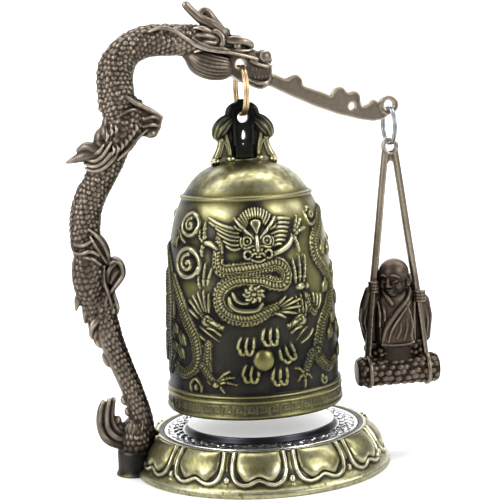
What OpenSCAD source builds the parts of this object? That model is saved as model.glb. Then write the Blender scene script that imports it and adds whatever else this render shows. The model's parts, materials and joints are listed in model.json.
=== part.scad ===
/* [Base] */
// Diameter of the lotus base over its flange
base_d = 80; // [76:1:84]
// Height of the lotus base at the top of its petals
base_h = 12.5; // [12:0.5:13]
// Wall of the base casting
base_wall = 2; // [1.6:0.1:2.4]
// Diameter of the polished plate let into the base
plate_d = 61; // [60:0.5:62]
// Distance from the base's centre to the socket that holds the dragon
socket_x = 39; // [38.5:0.5:39.5]

/* [Bell] */
// Diameter of the bell at its lip
bell_d = 54; // [52:0.5:54]
// Height of the bell from its lip to the top of its dome
bell_h = 76; // [75:0.5:76]
// Wall of the bell
bell_wall = 2.2; // [1.8:0.1:2.4]
// Outer diameter of the split ring that carries the bell
bell_ring_d = 16; // [15.6:0.1:16]
// Wire of that ring
bell_wire_d = 0.94; // [0.8:0.02:0.94]

/* [Striker] */
// Outer diameter of the split ring that carries the striker
striker_ring_d = 12.2; // [12:0.1:12.4]
// Wire of that ring
striker_wire_d = 0.76; // [0.6:0.02:0.76]
// Length of the log that the monk sits on
log_l = 27; // [25:0.5:27]
// Diameter of the log
log_d = 9.6; // [9:0.1:10]
// Thickness of the striker's frame
frame_t = 2.6; // [2:0.1:2.8]

/* [Dragon] */
// Thickness of the beam
beam_t = 3; // [2.5:0.1:3.2]
// Thickness of the dragon's jaw at the ring hole
jaw_t = 5; // [4.5:0.1:5]

/* [Hidden] */
$fn = 64;

// The bell hangs on one plumb line and the striker on another, both in the plane y = 0.
bell_x = -1.4;
striker_x = 44.4;
jaw_hole = [bell_x, 124.6];
tip_hole = [striker_x, 109.9];
charm_hole = [32.8, 110.1];
jaw_hole_r = 1.7;
crown_hole_r = 1.7;
tip_hole_r = 1.5;
eye_hole_r = 1.35;
charm_hole_r = 1;
crown_t = 5;
ring_gap = 0.12;

// A split ring is two turns of wire side by side, a little less than one wire apart.
function turn_x(wire) = 0.48 * wire;
// How far a ring's wire drops between the middle of a plate and the plate's face.
function sag(ring_r, plate_t) = ring_r - sqrt(ring_r * ring_r - plate_t * plate_t / 4);
// Distance from a hole's axis to the wire resting in it.
function seat(hole_r, wire) = sqrt(pow(hole_r - wire / 2 - ring_gap, 2) - pow(turn_x(wire), 2));
function ring_r(od, wire) = (od - wire) / 2;

bell_ring_r = ring_r(bell_ring_d, bell_wire_d);
bell_ring_z = jaw_hole.y - seat(jaw_hole_r, bell_wire_d) + sag(bell_ring_r, jaw_t) - bell_ring_r;
crown_hole_z = bell_ring_z - bell_ring_r - seat(crown_hole_r, bell_wire_d) + sag(bell_ring_r, crown_t);
striker_ring_r = ring_r(striker_ring_d, striker_wire_d);
striker_ring_z = tip_hole.y - seat(tip_hole_r, striker_wire_d) + sag(striker_ring_r, beam_t) - striker_ring_r;
eye_z = striker_ring_z - striker_ring_r - seat(eye_hole_r, striker_wire_d) + sag(striker_ring_r, frame_t);

dome_z = crown_hole_z - 12.2;
lip_z = dome_z - bell_h;
plate_z = base_h - 1.2;
plate_step = 1.4;
disc_d = 47;
socket_r = 6.3;
socket_h = 7.8;
peg_r = 2.5;
log_z = 26.3;
strap_x = 9.4;
hand = [7.2, 51];

// ---- helpers ----

// Lays an outline drawn in x and z flat on the plane y = 0, t thick.
module plate(t, y = 0) {
    translate([0, y + t / 2, 0])
        rotate([90, 0, 0])
            linear_extrude(t)
                children();
}

module y_hole(p, r, t) {
    translate([p.x, t / 2 + 1, p.y])
        rotate([90, 0, 0])
            cylinder(h = t + 2, r = r);
}

module rod(a, b, r) {
    d = b - a;
    translate(a)
        rotate([0, acos(d.z / norm(d)), atan2(d.y, d.x)])
            cylinder(h = norm(d), r = r);
}

// A point of a smooth curve through the list p, at parameter t from 0 to len(p) - 1.
function clamp_i(p, i) = p[max(0, min(len(p) - 1, i))];
function smooth(p, t) =
    let (i = min(floor(t), len(p) - 2), u = t - i,
         a = clamp_i(p, i - 1), b = p[i], c = p[i + 1], d = clamp_i(p, i + 2))
    0.5 * (2 * b + (c - a) * u + (2 * a - 5 * b + 4 * c - d) * u * u + (3 * b - a - 3 * c + d) * pow(u, 3));

// A tube with an oval section along a curve in the plane y = 0; each point is [x, z, half width].
module oval_sweep(path, depth, steps, sides) {
    n = (len(path) - 1) * steps;
    function at(k) = smooth(path, k / steps);
    function side(k) = let (d = at(min(k + 0.5, n)) - at(max(k - 0.5, 0))) [-d.y, d.x] / norm([d.x, d.y]);
    points = [for (k = [0:n], j = [0:sides - 1])
        let (p = at(k), s = side(k), a = 360 * j / sides)
        [p.x + s.x * p.z * cos(a), depth * p.z * sin(a), p.y + s.y * p.z * cos(a)]];
    walls = [for (k = [0:n - 1], j = [0:sides - 1])
        let (a = k * sides + j, b = k * sides + (j + 1) % sides)
        [a, b, b + sides, a + sides]];
    polyhedron(points, concat(walls, [[for (j = [sides - 1:-1:0]) j]],
               [[for (j = [0:sides - 1]) n * sides + j]]), convexity = 6);
}

// Two turns of wire round the x axis.
module split_ring(x, z, r, wire) {
    for (s = [-1, 1])
        translate([x + s * turn_x(wire), 0, z])
            rotate([0, 90, 0])
                rotate_extrude()
                    translate([r, 0])
                        circle(d = wire, $fn = 32);
}

// ---- base ----

base_r = base_d / 2;
plate_r = plate_d / 2;
flange_h = 1.6;

module lotus_base() {
    color("#7c7a40")
        difference() {
            union() {
                rotate_extrude($fn = 120)
                    polygon([[0, plate_z - base_wall], [plate_r, plate_z - base_wall],
                             [plate_r + 2, base_h - base_wall - 1.4], [base_r - 3.4, 2.6],
                             [base_r - 3.4, 0], [base_r, 0], [base_r, flange_h], [base_r - 1.4, flange_h + 0.8],
                             [base_r - 3, 5.2], [plate_r + 4.6, 9.6], [plate_r + 2.6, base_h],
                             [plate_r + 0.05, base_h], [plate_r + 0.05, plate_z], [0, plate_z]]);
                translate([-socket_x, 0, 0])
                    cylinder(h = socket_h, r = socket_r);
            }
            // The seat for the dragon's foot is cut down through the petals.
            translate([-socket_x, 0, socket_h])
                cylinder(h = base_h, r = socket_r + 0.5);
            translate([-socket_x, 0, 2.4])
                cylinder(h = socket_h, r = peg_r + 0.05);
            translate([-socket_x, 0, -1])
                cylinder(h = 5, r = 1.6);
            translate([-socket_x, 0, -1])
                cylinder(h = 2.2, r = 3.6);
        }
}

module top_plate() {
    disc_r = disc_d / 2;
    color("#c9cbcf")
        rotate_extrude($fn = 120)
            polygon([[0, plate_z], [plate_r, plate_z], [plate_r, plate_z + 0.9], [plate_r - 1.2, plate_z + 1.5],
                     [disc_r + 0.6, plate_z + 0.9], [disc_r + 0.6, plate_z + plate_step],
                     [disc_r, plate_z + plate_step + 0.4], [0, plate_z + plate_step + 0.4]]);
}

module socket_screw() {
    color("#8e9094") {
        translate([-socket_x, 0, 0.2])
            cylinder(h = 0.5, r = 2.8);
        translate([-socket_x, 0, 0.7])
            cylinder(h = 5.3, r = 1.25);
    }
}

module socket_washer() {
    color("#a9abae")
        translate([-socket_x, 0, 0.7])
            difference() {
                cylinder(h = 0.5, r = 3.4);
                translate([0, 0, -1])
                    cylinder(h = 3, r = 1.35);
            }
}

// ---- dragon ----

// The dragon's spine from its foot to its neck: x, z and half width.
spine = [[-38.8, 6.4, 6.2], [-37.8, 12.5, 5], [-37.6, 18.5, 4], [-39.4, 25.5, 3.8], [-42, 33, 3.9], [-44.6, 40.5, 4.1],
         [-46.6, 48.5, 4.4], [-48.4, 57, 4.8], [-49.8, 66, 5.1], [-50.9, 75, 4.9], [-49.8, 84, 4.9], [-46, 91.5, 4.9],
         [-41.8, 99, 5], [-39, 107.5, 5.3], [-38.9, 116, 5.5], [-38.9, 123.5, 5.5], [-36, 129.3, 5.3],
         [-30.2, 132.2, 5.1], [-23.5, 132.4, 5], [-16, 132.4, 5.1]];
neck_x = -17;
spine_depth = 0.86;

module dragon_body() {
    color("#5d5046")
        difference() {
            union() {
                oval_sweep(spine, spine_depth, 4, 20);
                // Haunch, shoulder and the knees of the legs.
                for (b = [[-51.6, 61.5, 4.2], [-37.2, 107, 4.8], [-47.6, 97.4, 4]])
                    translate([b.x, 0, b.y])
                        sphere(r = b.z, $fn = 20);
                plate(4.4)
                    polygon([[-38, 112], [-32, 114.2], [-25.2, 109.6], [-26.2, 105.4], [-30, 103.4], [-38, 101]]);
                plate(4)
                    polygon([[-44, 103], [-51.5, 101.6], [-55.8, 97.4], [-50, 94.4], [-44, 93]]);
                plate(4)
                    polygon([[-45, 67.5], [-42, 67.8], [-39.9, 64.6], [-41.4, 60], [-46, 57]]);
                plate(4.4)
                    polygon([[-50, 58], [-55.8, 56], [-56, 52], [-53.4, 47], [-52.6, 42.4], [-50.4, 41.6], [-46, 46]]);
                plate(3.6)
                    polygon([[-38.6, 8.4], [-44.4, 8], [-49.2, 11], [-51, 16], [-50.4, 23.4], [-45.8, 24.2],
                             [-45.4, 18], [-43.6, 14.6], [-38.6, 14]]);
                translate([-socket_x, 0, 2.9])
                    cylinder(h = 6, r = peg_r);
            }
            translate([-socket_x, 0, -1])
                cylinder(h = socket_h, r = 1.3);
            // The foot is flat on its seat round the peg, and the neck is flat where the head joins it.
            translate([-60, -20, socket_h - 50])
                difference() {
                    cube([60, 40, 50]);
                    translate([60 - socket_x, 20, -1])
                        cylinder(h = 60, r = peg_r);
                }
            translate([neck_x, -20, 110])
                cube(40);
        }
}

jaw = [[neck_x, 127.2], [-14.8, 123.8], [-11.5, 121.2], [-8, 120.2], [-4.6, 120.3], [-0.8, 117.9], [2.6, 116.6],
       [5.8, 116.7], [7.8, 118], [8.4, 121], [8.4, 124.6], [-2, 127.4], [-8, 130], [neck_x, 130]];
skull = [[neck_x, 137.4], [neck_x, 127.4], [-11, 126], [-5, 126.6], [8.4, 124.6], [8.6, 127.4], [6.4, 128.6], [3.4, 127.9],
         [1.9, 129.4], [1.5, 131.6], [-0.6, 132.9], [-4.4, 133.2], [-7, 135.8], [-9.4, 137.8]];
tang = [[4.4, 117.6], [8.4, 121.9]];

module dragon_head() {
    color("#5d5046")
        difference() {
            union() {
                plate(jaw_t) polygon(jaw);
                difference() {
                    plate(8.6) polygon(skull);
                    // The ring swings past the cheeks here.
                    for (s = [-1, 1])
                        translate([bell_x, s * 5, jaw_hole.y - 2])
                            cube([6, 5, 8], center = true);
                }
                for (s = [-1, 1]) {
                    rod([-13.4, s * 2.4, 136.4], [-18, s * 3, 143.4], 0.9);
                    rod([-10.6, s * 2.4, 136.4], [-11.4, s * 2.6, 141.6], 0.8);
                }
            }
            y_hole(jaw_hole, jaw_hole_r, 12);
            plate(beam_t + 0.04)
                polygon([tang[0], [9, tang[0].y], [9, tang[1].y], [tang[0].x, tang[1].y]]);
        }
}

beam_lower = [[44.8, 107.4], [42.6, 105.7], [39.4, 105.2], [35.4, 105.9], [28.4, 107.9], [21, 110.7], [13.7, 114.2], [8.4, 117]];
beam_upper = [[8.4, 121.2], [12.9, 119.3], [14.6, 120.4], [16.6, 120], [17.8, 117], [24.1, 114.6], [26.4, 113.6],
              [28.2, 115.7], [30.6, 115.7], [31.9, 114.2], [33.8, 114.6], [35, 113.2], [35.4, 110.6], [36.8, 109.8],
              [39.8, 111.6], [41.6, 110.4], [43.4, 110]];

module beam() {
    color("#6a5f4e")
        difference() {
            union() {
                plate(beam_t)
                    polygon(concat(beam_lower, beam_upper));
                plate(beam_t)
                    translate(tip_hole)
                        circle(r = 3);
                plate(beam_t)
                    translate([tang[0].x + 0.05, tang[0].y + 0.05])
                        square([8.5 - tang[0].x, tang[1].y - tang[0].y - 0.1]);
            }
            y_hole(tip_hole, tip_hole_r, beam_t);
            y_hole(charm_hole, charm_hole_r, beam_t);
        }
}

// ---- bell ----

module bell_ring() {
    color("#d8b878")
        split_ring(bell_x, bell_ring_z, bell_ring_r, bell_wire_d);
}

// Outer profile of the bell: share of the lip radius, and height above the lip.
bell_profile = [[0.97, 6.6], [0.978, 12], [0.978, 20], [0.965, 30], [0.94, 40], [0.9, 50], [0.86, 56], [0.8, 61],
                [0.73, 64.8], [0.71, 65.6], [0.64, 69], [0.5, 72.6], [0.36, 74.8], [0.2, 75.8]];
bell_r = bell_d / 2;
function grow(p, w) = [for (q = p) [q.x * bell_r - w, q.y * bell_h / 76 - w * 0.7]];

module bell_shell() {
    outer = grow(bell_profile, 0);
    inner = grow(bell_profile, bell_wall);
    last = len(outer) - 1;
    color("#77763a")
        translate([bell_x, 0, lip_z])
            difference() {
                rotate_extrude($fn = 120)
                    polygon(concat(
                        [[bell_r - bell_wall - 0.4, 0], [bell_r, 0], [bell_r, 5], [bell_r + 0.2, 5.4], [bell_r, 6]],
                        outer, [[0, bell_h], [0, bell_h - bell_wall]],
                        [for (k = [last:-1:0]) inner[k]]));
                translate([0, 0, bell_h - 5])
                    cylinder(h = 10, r = 1.6);
            }
}

crown_half = [[9, -0.6], [7.6, 2.4], [7.2, 5.6], [8.5, 7], [8.4, 8.8], [6.6, 10], [5, 11.4], [4.4, 14.4], [2.8, 16.6]];

module bell_crown() {
    translate([bell_x, 0, dome_z])
        color("#33322a")
            difference() {
                union() {
                    plate(crown_t)
                        polygon(concat(crown_half, [for (k = [len(crown_half) - 1:-1:0])
                            [-crown_half[k].x, crown_half[k].y]]));
                    translate([0, 0, -0.6])
                        cylinder(h = 2.2, r = 9);
                }
                y_hole([0, crown_hole_z - dome_z], crown_hole_r, crown_t);
                y_hole([0, 5.6], 0.6, crown_t);
                // The foot follows the dome.
                translate([0, 0, -bell_h])
                    rotate_extrude($fn = 120)
                        polygon(concat([[0, 0]], [[bell_r, 0]], grow(bell_profile, 0), [[0, bell_h]]));
                translate([0, 0, -2])
                    cylinder(h = 5.4, r = 1.3);
            }
}

module crown_screw() {
    color("#8e9094")
        translate([bell_x, 0, dome_z]) {
            translate([0, 0, -4.5])
                cylinder(h = 1.8, r = 2.6);
            translate([0, 0, -3])
                cylinder(h = 6.2, r = 1.25);
        }
}

module crown_washer() {
    color("#a9abae")
        translate([bell_x, 0, dome_z - 2.7])
            difference() {
                cylinder(h = 0.48, r = 3.6);
                translate([0, 0, -1])
                    cylinder(h = 3, r = 1.35);
            }
}

// ---- striker ----

module striker_ring() {
    color("#b9bcc0")
        split_ring(striker_x, striker_ring_z, striker_ring_r, striker_wire_d);
}

module at_striker() {
    translate([striker_x, 0, 0])
        children();
}

module striker_frame() {
    color("#6a5c4e")
        at_striker()
            difference() {
                union() {
                    plate(frame_t)
                        translate([0, eye_z])
                            circle(r = 2.7);
                    for (s = [-1, 1]) {
                        plate(frame_t)
                            polygon([[s * 0.6, eye_z - 1.6], [s * 2.6, eye_z - 0.6], [s * (hand.x + 1.1), hand.y],
                                     [s * (strap_x + 0.9), log_z + log_d / 2 + 0.5],
                                     [s * (strap_x - 0.9), log_z + log_d / 2 + 0.5], [s * (hand.x - 1.1), hand.y]]);
                    }
                    plate(frame_t)
                        translate([-1.6, eye_z - 4.4])
                            square([3.2, 3]);
                }
                y_hole([0, eye_z], eye_hole_r, frame_t);
            }
}

module monk() {
    seat_z = log_z + log_d / 2;
    color("#4a3d33")
        at_striker()
            difference() {
                union() {
                    translate([0, 0, seat_z - 2])
                        cylinder(h = 19.5, r1 = 6.4, r2 = 4.2);
                    translate([0, -0.4, seat_z + 17])
                        cylinder(h = 4, r = 2.4);
                    translate([0, -0.6, 56])
                        sphere(r = 4.9);
                    for (s = [-1, 1]) {
                        rod([s * 2.6, -1.6, 47.4], [s * 9.8, -3.6, 43], 2);
                        rod([s * 9.8, -3.6, 43], [s * (hand.x + 0.4), -2.9, hand.y], 1.5);
                        translate([s * 9.8, -3.6, 43])
                            sphere(r = 2.1);
                    }
                }
                // The rods of the frame run behind the sleeves and past the body.
                for (s = [-1, 1])
                    plate(frame_t + 0.1)
                        polygon([[s * (hand.x - 2.6), 60], [s * 15, 60], [s * 15, 30],
                                 [s * (strap_x - 1.1), 30], [s * (hand.x - 1.3), hand.y]]);
                translate([-log_l, 0, log_z])
                    rotate([0, 90, 0])
                        cylinder(h = 2 * log_l, d = log_d + 1.1);
            }
}

module log_seat() {
    color("#4f4238")
        at_striker()
            translate([-log_l / 2, 0, log_z])
                rotate([0, 90, 0])
                    cylinder(h = log_l, d = log_d);
}

module log_straps() {
    color("#6a5c4e")
        at_striker()
            for (s = [-1, 1])
                translate([s * strap_x - 1, 0, log_z])
                    rotate([0, 90, 0])
                        difference() {
                            cylinder(h = 2, d = log_d + 1);
                            translate([0, 0, -1])
                                cylinder(h = 4, d = log_d + 0.04);
                        }
}

lotus_base();
top_plate();
dragon_body();
dragon_head();
beam();
socket_screw();
socket_washer();
bell_ring();
bell_shell();
bell_crown();
crown_screw();
crown_washer();
striker_ring();
striker_frame();
monk();
log_seat();
log_straps();
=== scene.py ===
import json
import math

import bpy
import numpy as np
from mathutils import Matrix, Vector


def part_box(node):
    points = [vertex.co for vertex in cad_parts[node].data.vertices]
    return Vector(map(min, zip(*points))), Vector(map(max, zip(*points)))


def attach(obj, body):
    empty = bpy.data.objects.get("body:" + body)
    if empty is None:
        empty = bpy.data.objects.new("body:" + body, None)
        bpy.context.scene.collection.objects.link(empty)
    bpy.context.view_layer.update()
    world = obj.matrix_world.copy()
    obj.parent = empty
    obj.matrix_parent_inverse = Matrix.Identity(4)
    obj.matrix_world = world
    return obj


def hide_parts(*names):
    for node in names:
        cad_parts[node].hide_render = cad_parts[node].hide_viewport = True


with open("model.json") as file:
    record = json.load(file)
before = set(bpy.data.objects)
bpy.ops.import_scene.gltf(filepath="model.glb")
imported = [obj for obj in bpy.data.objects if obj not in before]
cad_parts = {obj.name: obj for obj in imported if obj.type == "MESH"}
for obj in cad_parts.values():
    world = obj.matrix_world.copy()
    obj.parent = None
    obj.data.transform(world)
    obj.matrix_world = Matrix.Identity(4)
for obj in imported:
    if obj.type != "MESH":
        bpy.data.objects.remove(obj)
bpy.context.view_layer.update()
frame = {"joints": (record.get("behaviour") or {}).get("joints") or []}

# Shapes are worked out in millimetres and scaled to metres when a piece is made.
MM = 0.001
scene = bpy.context.scene


def node_mm(name):
    """Lowest and highest corner of a CAD node, in millimetres."""
    low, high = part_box(name)
    return np.array(low) / MM, np.array(high) / MM


bell_low, bell_high = node_mm("bell_shell")
bell_x = (bell_low[0] + bell_high[0]) / 2
lip_z = bell_low[2]
dome_z = bell_high[2]
joints = {j["name"]: np.array(j["pos_m"]) / MM for j in frame["joints"]}
jaw_hole = joints["ring_sway"]
tip_hole = joints["striker_sway"]
bell_ring_centre = joints["bell_swing"]
striker_ring_centre = joints["striker_swing"]


# ---- curves and fields ----

def smoothstep(x):
    x = np.clip(x, 0, 1)
    return x * x * (3 - 2 * x)


def arc(x):
    """Height of a half circle over x, which runs from -1 to 1."""
    return np.sqrt(np.clip(1 - x ** 2, 0, 1))


def curve(points, count):
    """count points along a smooth curve through the given ones, in any number of dimensions."""
    p = np.asarray(points, float)
    t = np.linspace(0, len(p) - 1, count)
    i = np.clip(t.astype(int), 0, len(p) - 2)
    u = (t - i)[:, None]
    a, b, c, d = p[np.maximum(i - 1, 0)], p[i], p[i + 1], p[np.minimum(i + 2, len(p) - 1)]
    return 0.5 * (2 * b + (c - a) * u + (2 * a - 5 * b + 4 * c - d) * u ** 2 + (3 * b - a - 3 * c + d) * u ** 3)


def lengths(points):
    """Distance along a path at each of its points."""
    return np.concatenate([[0], np.cumsum(np.linalg.norm(np.diff(points, axis=0), axis=1))])


def blur(field, cells, wrap=True):
    """Three box blurs, each 2 * cells + 1 wide, along both axes; the first axis doesn't wrap."""
    out = field.astype(float)
    for _ in range(3):
        for axis, mode in ((1, "wrap" if wrap else "edge"), (0, "edge")):
            pad = [(0, 0), (0, 0)]
            pad[axis] = (cells + 1, cells)
            total = np.cumsum(np.pad(out, pad, mode=mode), axis=axis)
            n = 2 * cells + 1
            high = np.take(total, range(n, total.shape[axis]), axis=axis)
            low = np.take(total, range(0, total.shape[axis] - n), axis=axis)
            out = (high - low) / n
    return out


class Relief:
    """A height field over a strip that wraps round, with drawing tools in millimetres."""

    def __init__(self, width, low, high, step):
        self.step, self.width, self.low = step, width, low
        self.nx, self.ny = int(round(width / step)), int(round((high - low) / step)) + 1
        self.h = np.zeros((self.ny, self.nx))

    def window(self, points, reach):
        """Cells within reach of the points: index arrays and their coordinates."""
        low, high = points.min(0) - reach, points.max(0) + reach
        i = np.arange(math.floor(low[0] / self.step), math.ceil(high[0] / self.step) + 1)
        j = np.arange(math.floor((low[1] - self.low) / self.step), math.ceil((high[1] - self.low) / self.step) + 1)
        j = j[(j >= 0) & (j < self.ny)]
        return i, j, i * self.step, self.low + j * self.step

    def near(self, path, reach):
        """Distance to a path, length along it and side of it, over the cells round it."""
        i, j, x, z = self.window(path, reach)
        x, z = np.meshgrid(x, z)
        best = np.full(x.shape, 1e9)
        along, side = np.zeros(x.shape), np.ones(x.shape)
        start = lengths(path)
        for k in range(len(path) - 1):
            a, d = path[k], path[k + 1] - path[k]
            size = max(np.hypot(*d), 1e-9)
            low, high = np.minimum(a, path[k + 1]) - reach, np.maximum(a, path[k + 1]) + reach
            c0, c1 = np.searchsorted(x[0], [low[0], high[0]])
            r0, r1 = np.searchsorted(z[:, 0], [low[1], high[1]])
            part = (slice(r0, r1), slice(c0, c1))
            px, pz = x[part] - a[0], z[part] - a[1]
            t = np.clip((px * d[0] + pz * d[1]) / size ** 2, 0, 1)
            away = np.hypot(px - t * d[0], pz - t * d[1])
            closer = away < best[part]
            best[part] = np.where(closer, away, best[part])
            along[part] = np.where(closer, start[k] + t * size, along[part])
            side[part] = np.where(closer, np.sign(d[0] * pz - d[1] * px), side[part])
        return np.ix_(j, i % self.nx), best, along, side, start[-1]

    def lay(self, cells, height, inside, away, moat=0.35):
        """Puts a shape over what is there, with a groove just outside it."""
        old = self.h[cells]
        cut = old * smoothstep(away / max(moat, 1e-9))
        self.h[cells] = np.where(inside, np.maximum(height, old * 0.2), np.minimum(old, cut))

    def stroke(self, points, width, height, samples=0, ends=0.35, moat=0.35):
        """A round ridge along a smooth curve; width is its half width, tapering to ends times that."""
        points = np.asarray(points, float)
        samples = samples or max(2, 8 * (len(points) - 1) if len(points) > 2 else 2)
        path = curve(points, samples) if len(points) > 2 else points
        cells, away, along, _, total = self.near(path, width + moat + self.step)
        taper = ends + (1 - ends) * np.sin(np.pi * np.clip(along / total, 0.02, 0.98)) ** 0.6
        x = away / (width * taper)
        rise = height * (0.4 + 0.6 * taper) * arc(x)
        self.lay(cells, rise, x < 1, away - width * taper, moat)

    def dome(self, centre, rx, rz, height, power=0.5, moat=0.35):
        """An oval bump; the smaller power is, the flatter its top."""
        centre = np.asarray(centre, float)
        i, j, x, z = self.window(centre[None], max(rx, rz) + moat + self.step)
        x, z = np.meshgrid(x - centre[0], z - centre[1])
        r = np.hypot(x / rx, z / rz)
        self.lay(np.ix_(j, i % self.nx), height * np.clip(1 - r ** 2, 0, 1) ** power, r < 1,
                 (r - 1) * min(rx, rz), moat)

    def facet(self, corners, height, edge):
        """A raised face with convex corners, given counter-clockwise; it rises over the width of edge."""
        corners = np.asarray(corners, float)
        i, j, x, z = self.window(corners, 0.5)
        x, z = np.meshgrid(x, z)
        inset = np.full(x.shape, 1e9)
        for a, b in zip(corners, np.roll(corners, -1, 0)):
            d = (b - a) / np.hypot(*(b - a))
            inset = np.minimum(inset, d[0] * (z - a[1]) - d[1] * (x - a[0]))
        self.lay(np.ix_(j, i % self.nx), height * smoothstep(inset / edge) ** 0.6, inset > 0, -inset)

    def ring(self, centre, radius, width, height):
        """A round ridge along a circle."""
        turn = np.linspace(0, 2 * np.pi, 25)
        path = np.column_stack([centre[0] + radius * np.cos(turn), centre[1] + radius * np.sin(turn)])
        self.stroke(path, width, height, samples=25, ends=1.0)

    def spiral(self, centre, radius, turns, width, height, start=0.0, flip=1, inner=0.12, wide=1.0):
        """A ridge that curls in from radius to inner times that, wide times as broad as it is high."""
        t = np.linspace(0, 1, int(24 * turns))
        r = radius * (1 - (1 - inner) * t) - width
        a = start + flip * t * turns * 2 * np.pi
        path = np.column_stack([centre[0] + wide * r * np.cos(a), centre[1] + r * np.sin(a)])
        cells, away, along, _, total = self.near(path, width * 1.6)
        w = width * (1.05 - 0.35 * along / total)
        x = away / w
        self.lay(cells, height * (0.85 + 0.3 * along / total) * arc(x), x < 1, away - w)

    def serpent(self, points, widths, height, scale=0.85, fins=0.5):
        """A scaled body along a curve, with a comb of fins along both sides."""
        path = curve(np.asarray(points, float), 10 * len(points))
        stops = np.linspace(0, 1, len(widths))
        cells, away, along, side, total = self.near(path, max(widths) + fins + 0.5)
        w = np.interp(along / total, stops, widths)
        t = away / w
        # From edge to edge: a line, a band of ribs, a second line and a row of beads.
        u = side * t
        rib = 0.5 + 0.5 * np.cos(2 * np.pi * (along / (1.12 * scale) + 0.35 * u + 0.4 * u * u))
        bead = 0.5 + 0.5 * np.cos(2 * np.pi * along / (1.05 * scale))
        body = height * np.maximum.reduce([np.full(t.shape, 0.2), arc((u - 0.22) / 0.52) * (0.5 + 0.5 * rib),
                                           0.85 * arc((u + 0.4) / 0.11), 0.8 * arc((u - 0.88) / 0.12),
                                           0.85 * arc((u + 0.76) / 0.23) * (0.3 + 0.7 * bead)])
        tooth = fins * (0.35 + 0.65 * np.abs((along / (1.35 * scale)) % 1 - 0.5) * 2)
        edge = side != 0
        comb = edge & (away < w + tooth) & (t >= 1)
        outer = np.where(comb, 0.45 * height, 0)
        self.lay(cells, np.where(t < 1, body, outer), (t < 1) | comb, away - w - np.where(edge, tooth, 0))

    def at(self, x, z, field=None):
        """The height, or another field of the same cells, at points by linear interpolation."""
        u, v = (x / self.step) % self.nx, np.clip((z - self.low) / self.step, 0, self.ny - 1.001)
        i, j = np.floor(u).astype(int) % self.nx, np.floor(v).astype(int)
        fu, fv = u - np.floor(u), v - j
        k, m = (i + 1) % self.nx, j + 1
        h = self.h if field is None else field
        return (h[j, i] * (1 - fu) + h[j, k] * fu) * (1 - fv) + (h[m, i] * (1 - fu) + h[m, k] * fu) * fv


# ---- meshes ----

def grid_faces(rows, columns):
    """Quads of a grid whose columns wrap round."""
    j, i = np.meshgrid(np.arange(rows - 1), np.arange(columns), indexing="ij")
    k = (i + 1) % columns
    a, b, c, d = j * columns + i, j * columns + k, (j + 1) * columns + k, (j + 1) * columns + i
    return np.stack([a, b, c, d], -1).reshape(-1, 4).tolist()


def capped(rows, columns):
    """Faces of a grid whose columns wrap round, closed by one face at each end."""
    return grid_faces(rows, columns) + [list(range(columns - 1, -1, -1)),
                                        list(range((rows - 1) * columns, rows * columns))]


def turned(r, z, turn, x=0.0):
    """Points at radii r and heights z, turned about a plumb line through x; a turn of 0 faces the front."""
    shape = np.broadcast_shapes(np.shape(r), np.shape(z), np.shape(turn))
    return np.stack([x + r * np.sin(turn), -r * np.cos(turn), np.broadcast_to(z, shape)], -1).reshape(-1, 3)


def revolve(profile, columns, x):
    """Vertices of a profile [(radius, z)] turned about a plumb line through x."""
    r, z = np.asarray(profile, float).T
    return turned(r[:, None], z[:, None], np.linspace(0, 2 * np.pi, columns, endpoint=False), x)


def linked(name, data):
    """A new object in the scene."""
    thing = bpy.data.objects.new(name, data)
    scene.collection.objects.link(thing)
    return thing


def finish_piece(name, mesh, wear_and_light, body, slot, replaces):
    """Gives a mesh its wear and its finish, and says what it rides on and which CAD nodes it stands for; the wear
    also holds painted light and shade.
    """
    layer = mesh.attributes.new("wear_and_light", "FLOAT", "POINT")
    layer.data.foreach_set("value", np.asarray(wear_and_light, np.float32))
    mesh.shade_smooth()
    mesh.materials.clear()
    mesh.materials.append(finishes[slot])
    piece = linked(name, mesh)
    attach(piece, body)
    if replaces:
        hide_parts(*replaces)


def make(name, verts, faces, wear_and_light, body, slot, replaces=()):
    """A piece from vertices in millimetres, with its wear, painted light and shade included, at each of them."""
    mesh = bpy.data.meshes.new(name)
    mesh.from_pydata((np.asarray(verts, float) * MM).tolist(), [], faces)
    mesh.validate()
    mesh.update()
    finish_piece(name, mesh, wear_and_light, body, slot, replaces)


# ---- cast shapes ----

def join(parts):
    """Several (vertices, faces) as one."""
    verts, faces, start = [], [], 0
    for v, f in parts:
        verts.append(np.asarray(v, float))
        faces += [[k + start for k in face] for face in f]
        start += len(v)
    return np.concatenate(verts), faces


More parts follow.
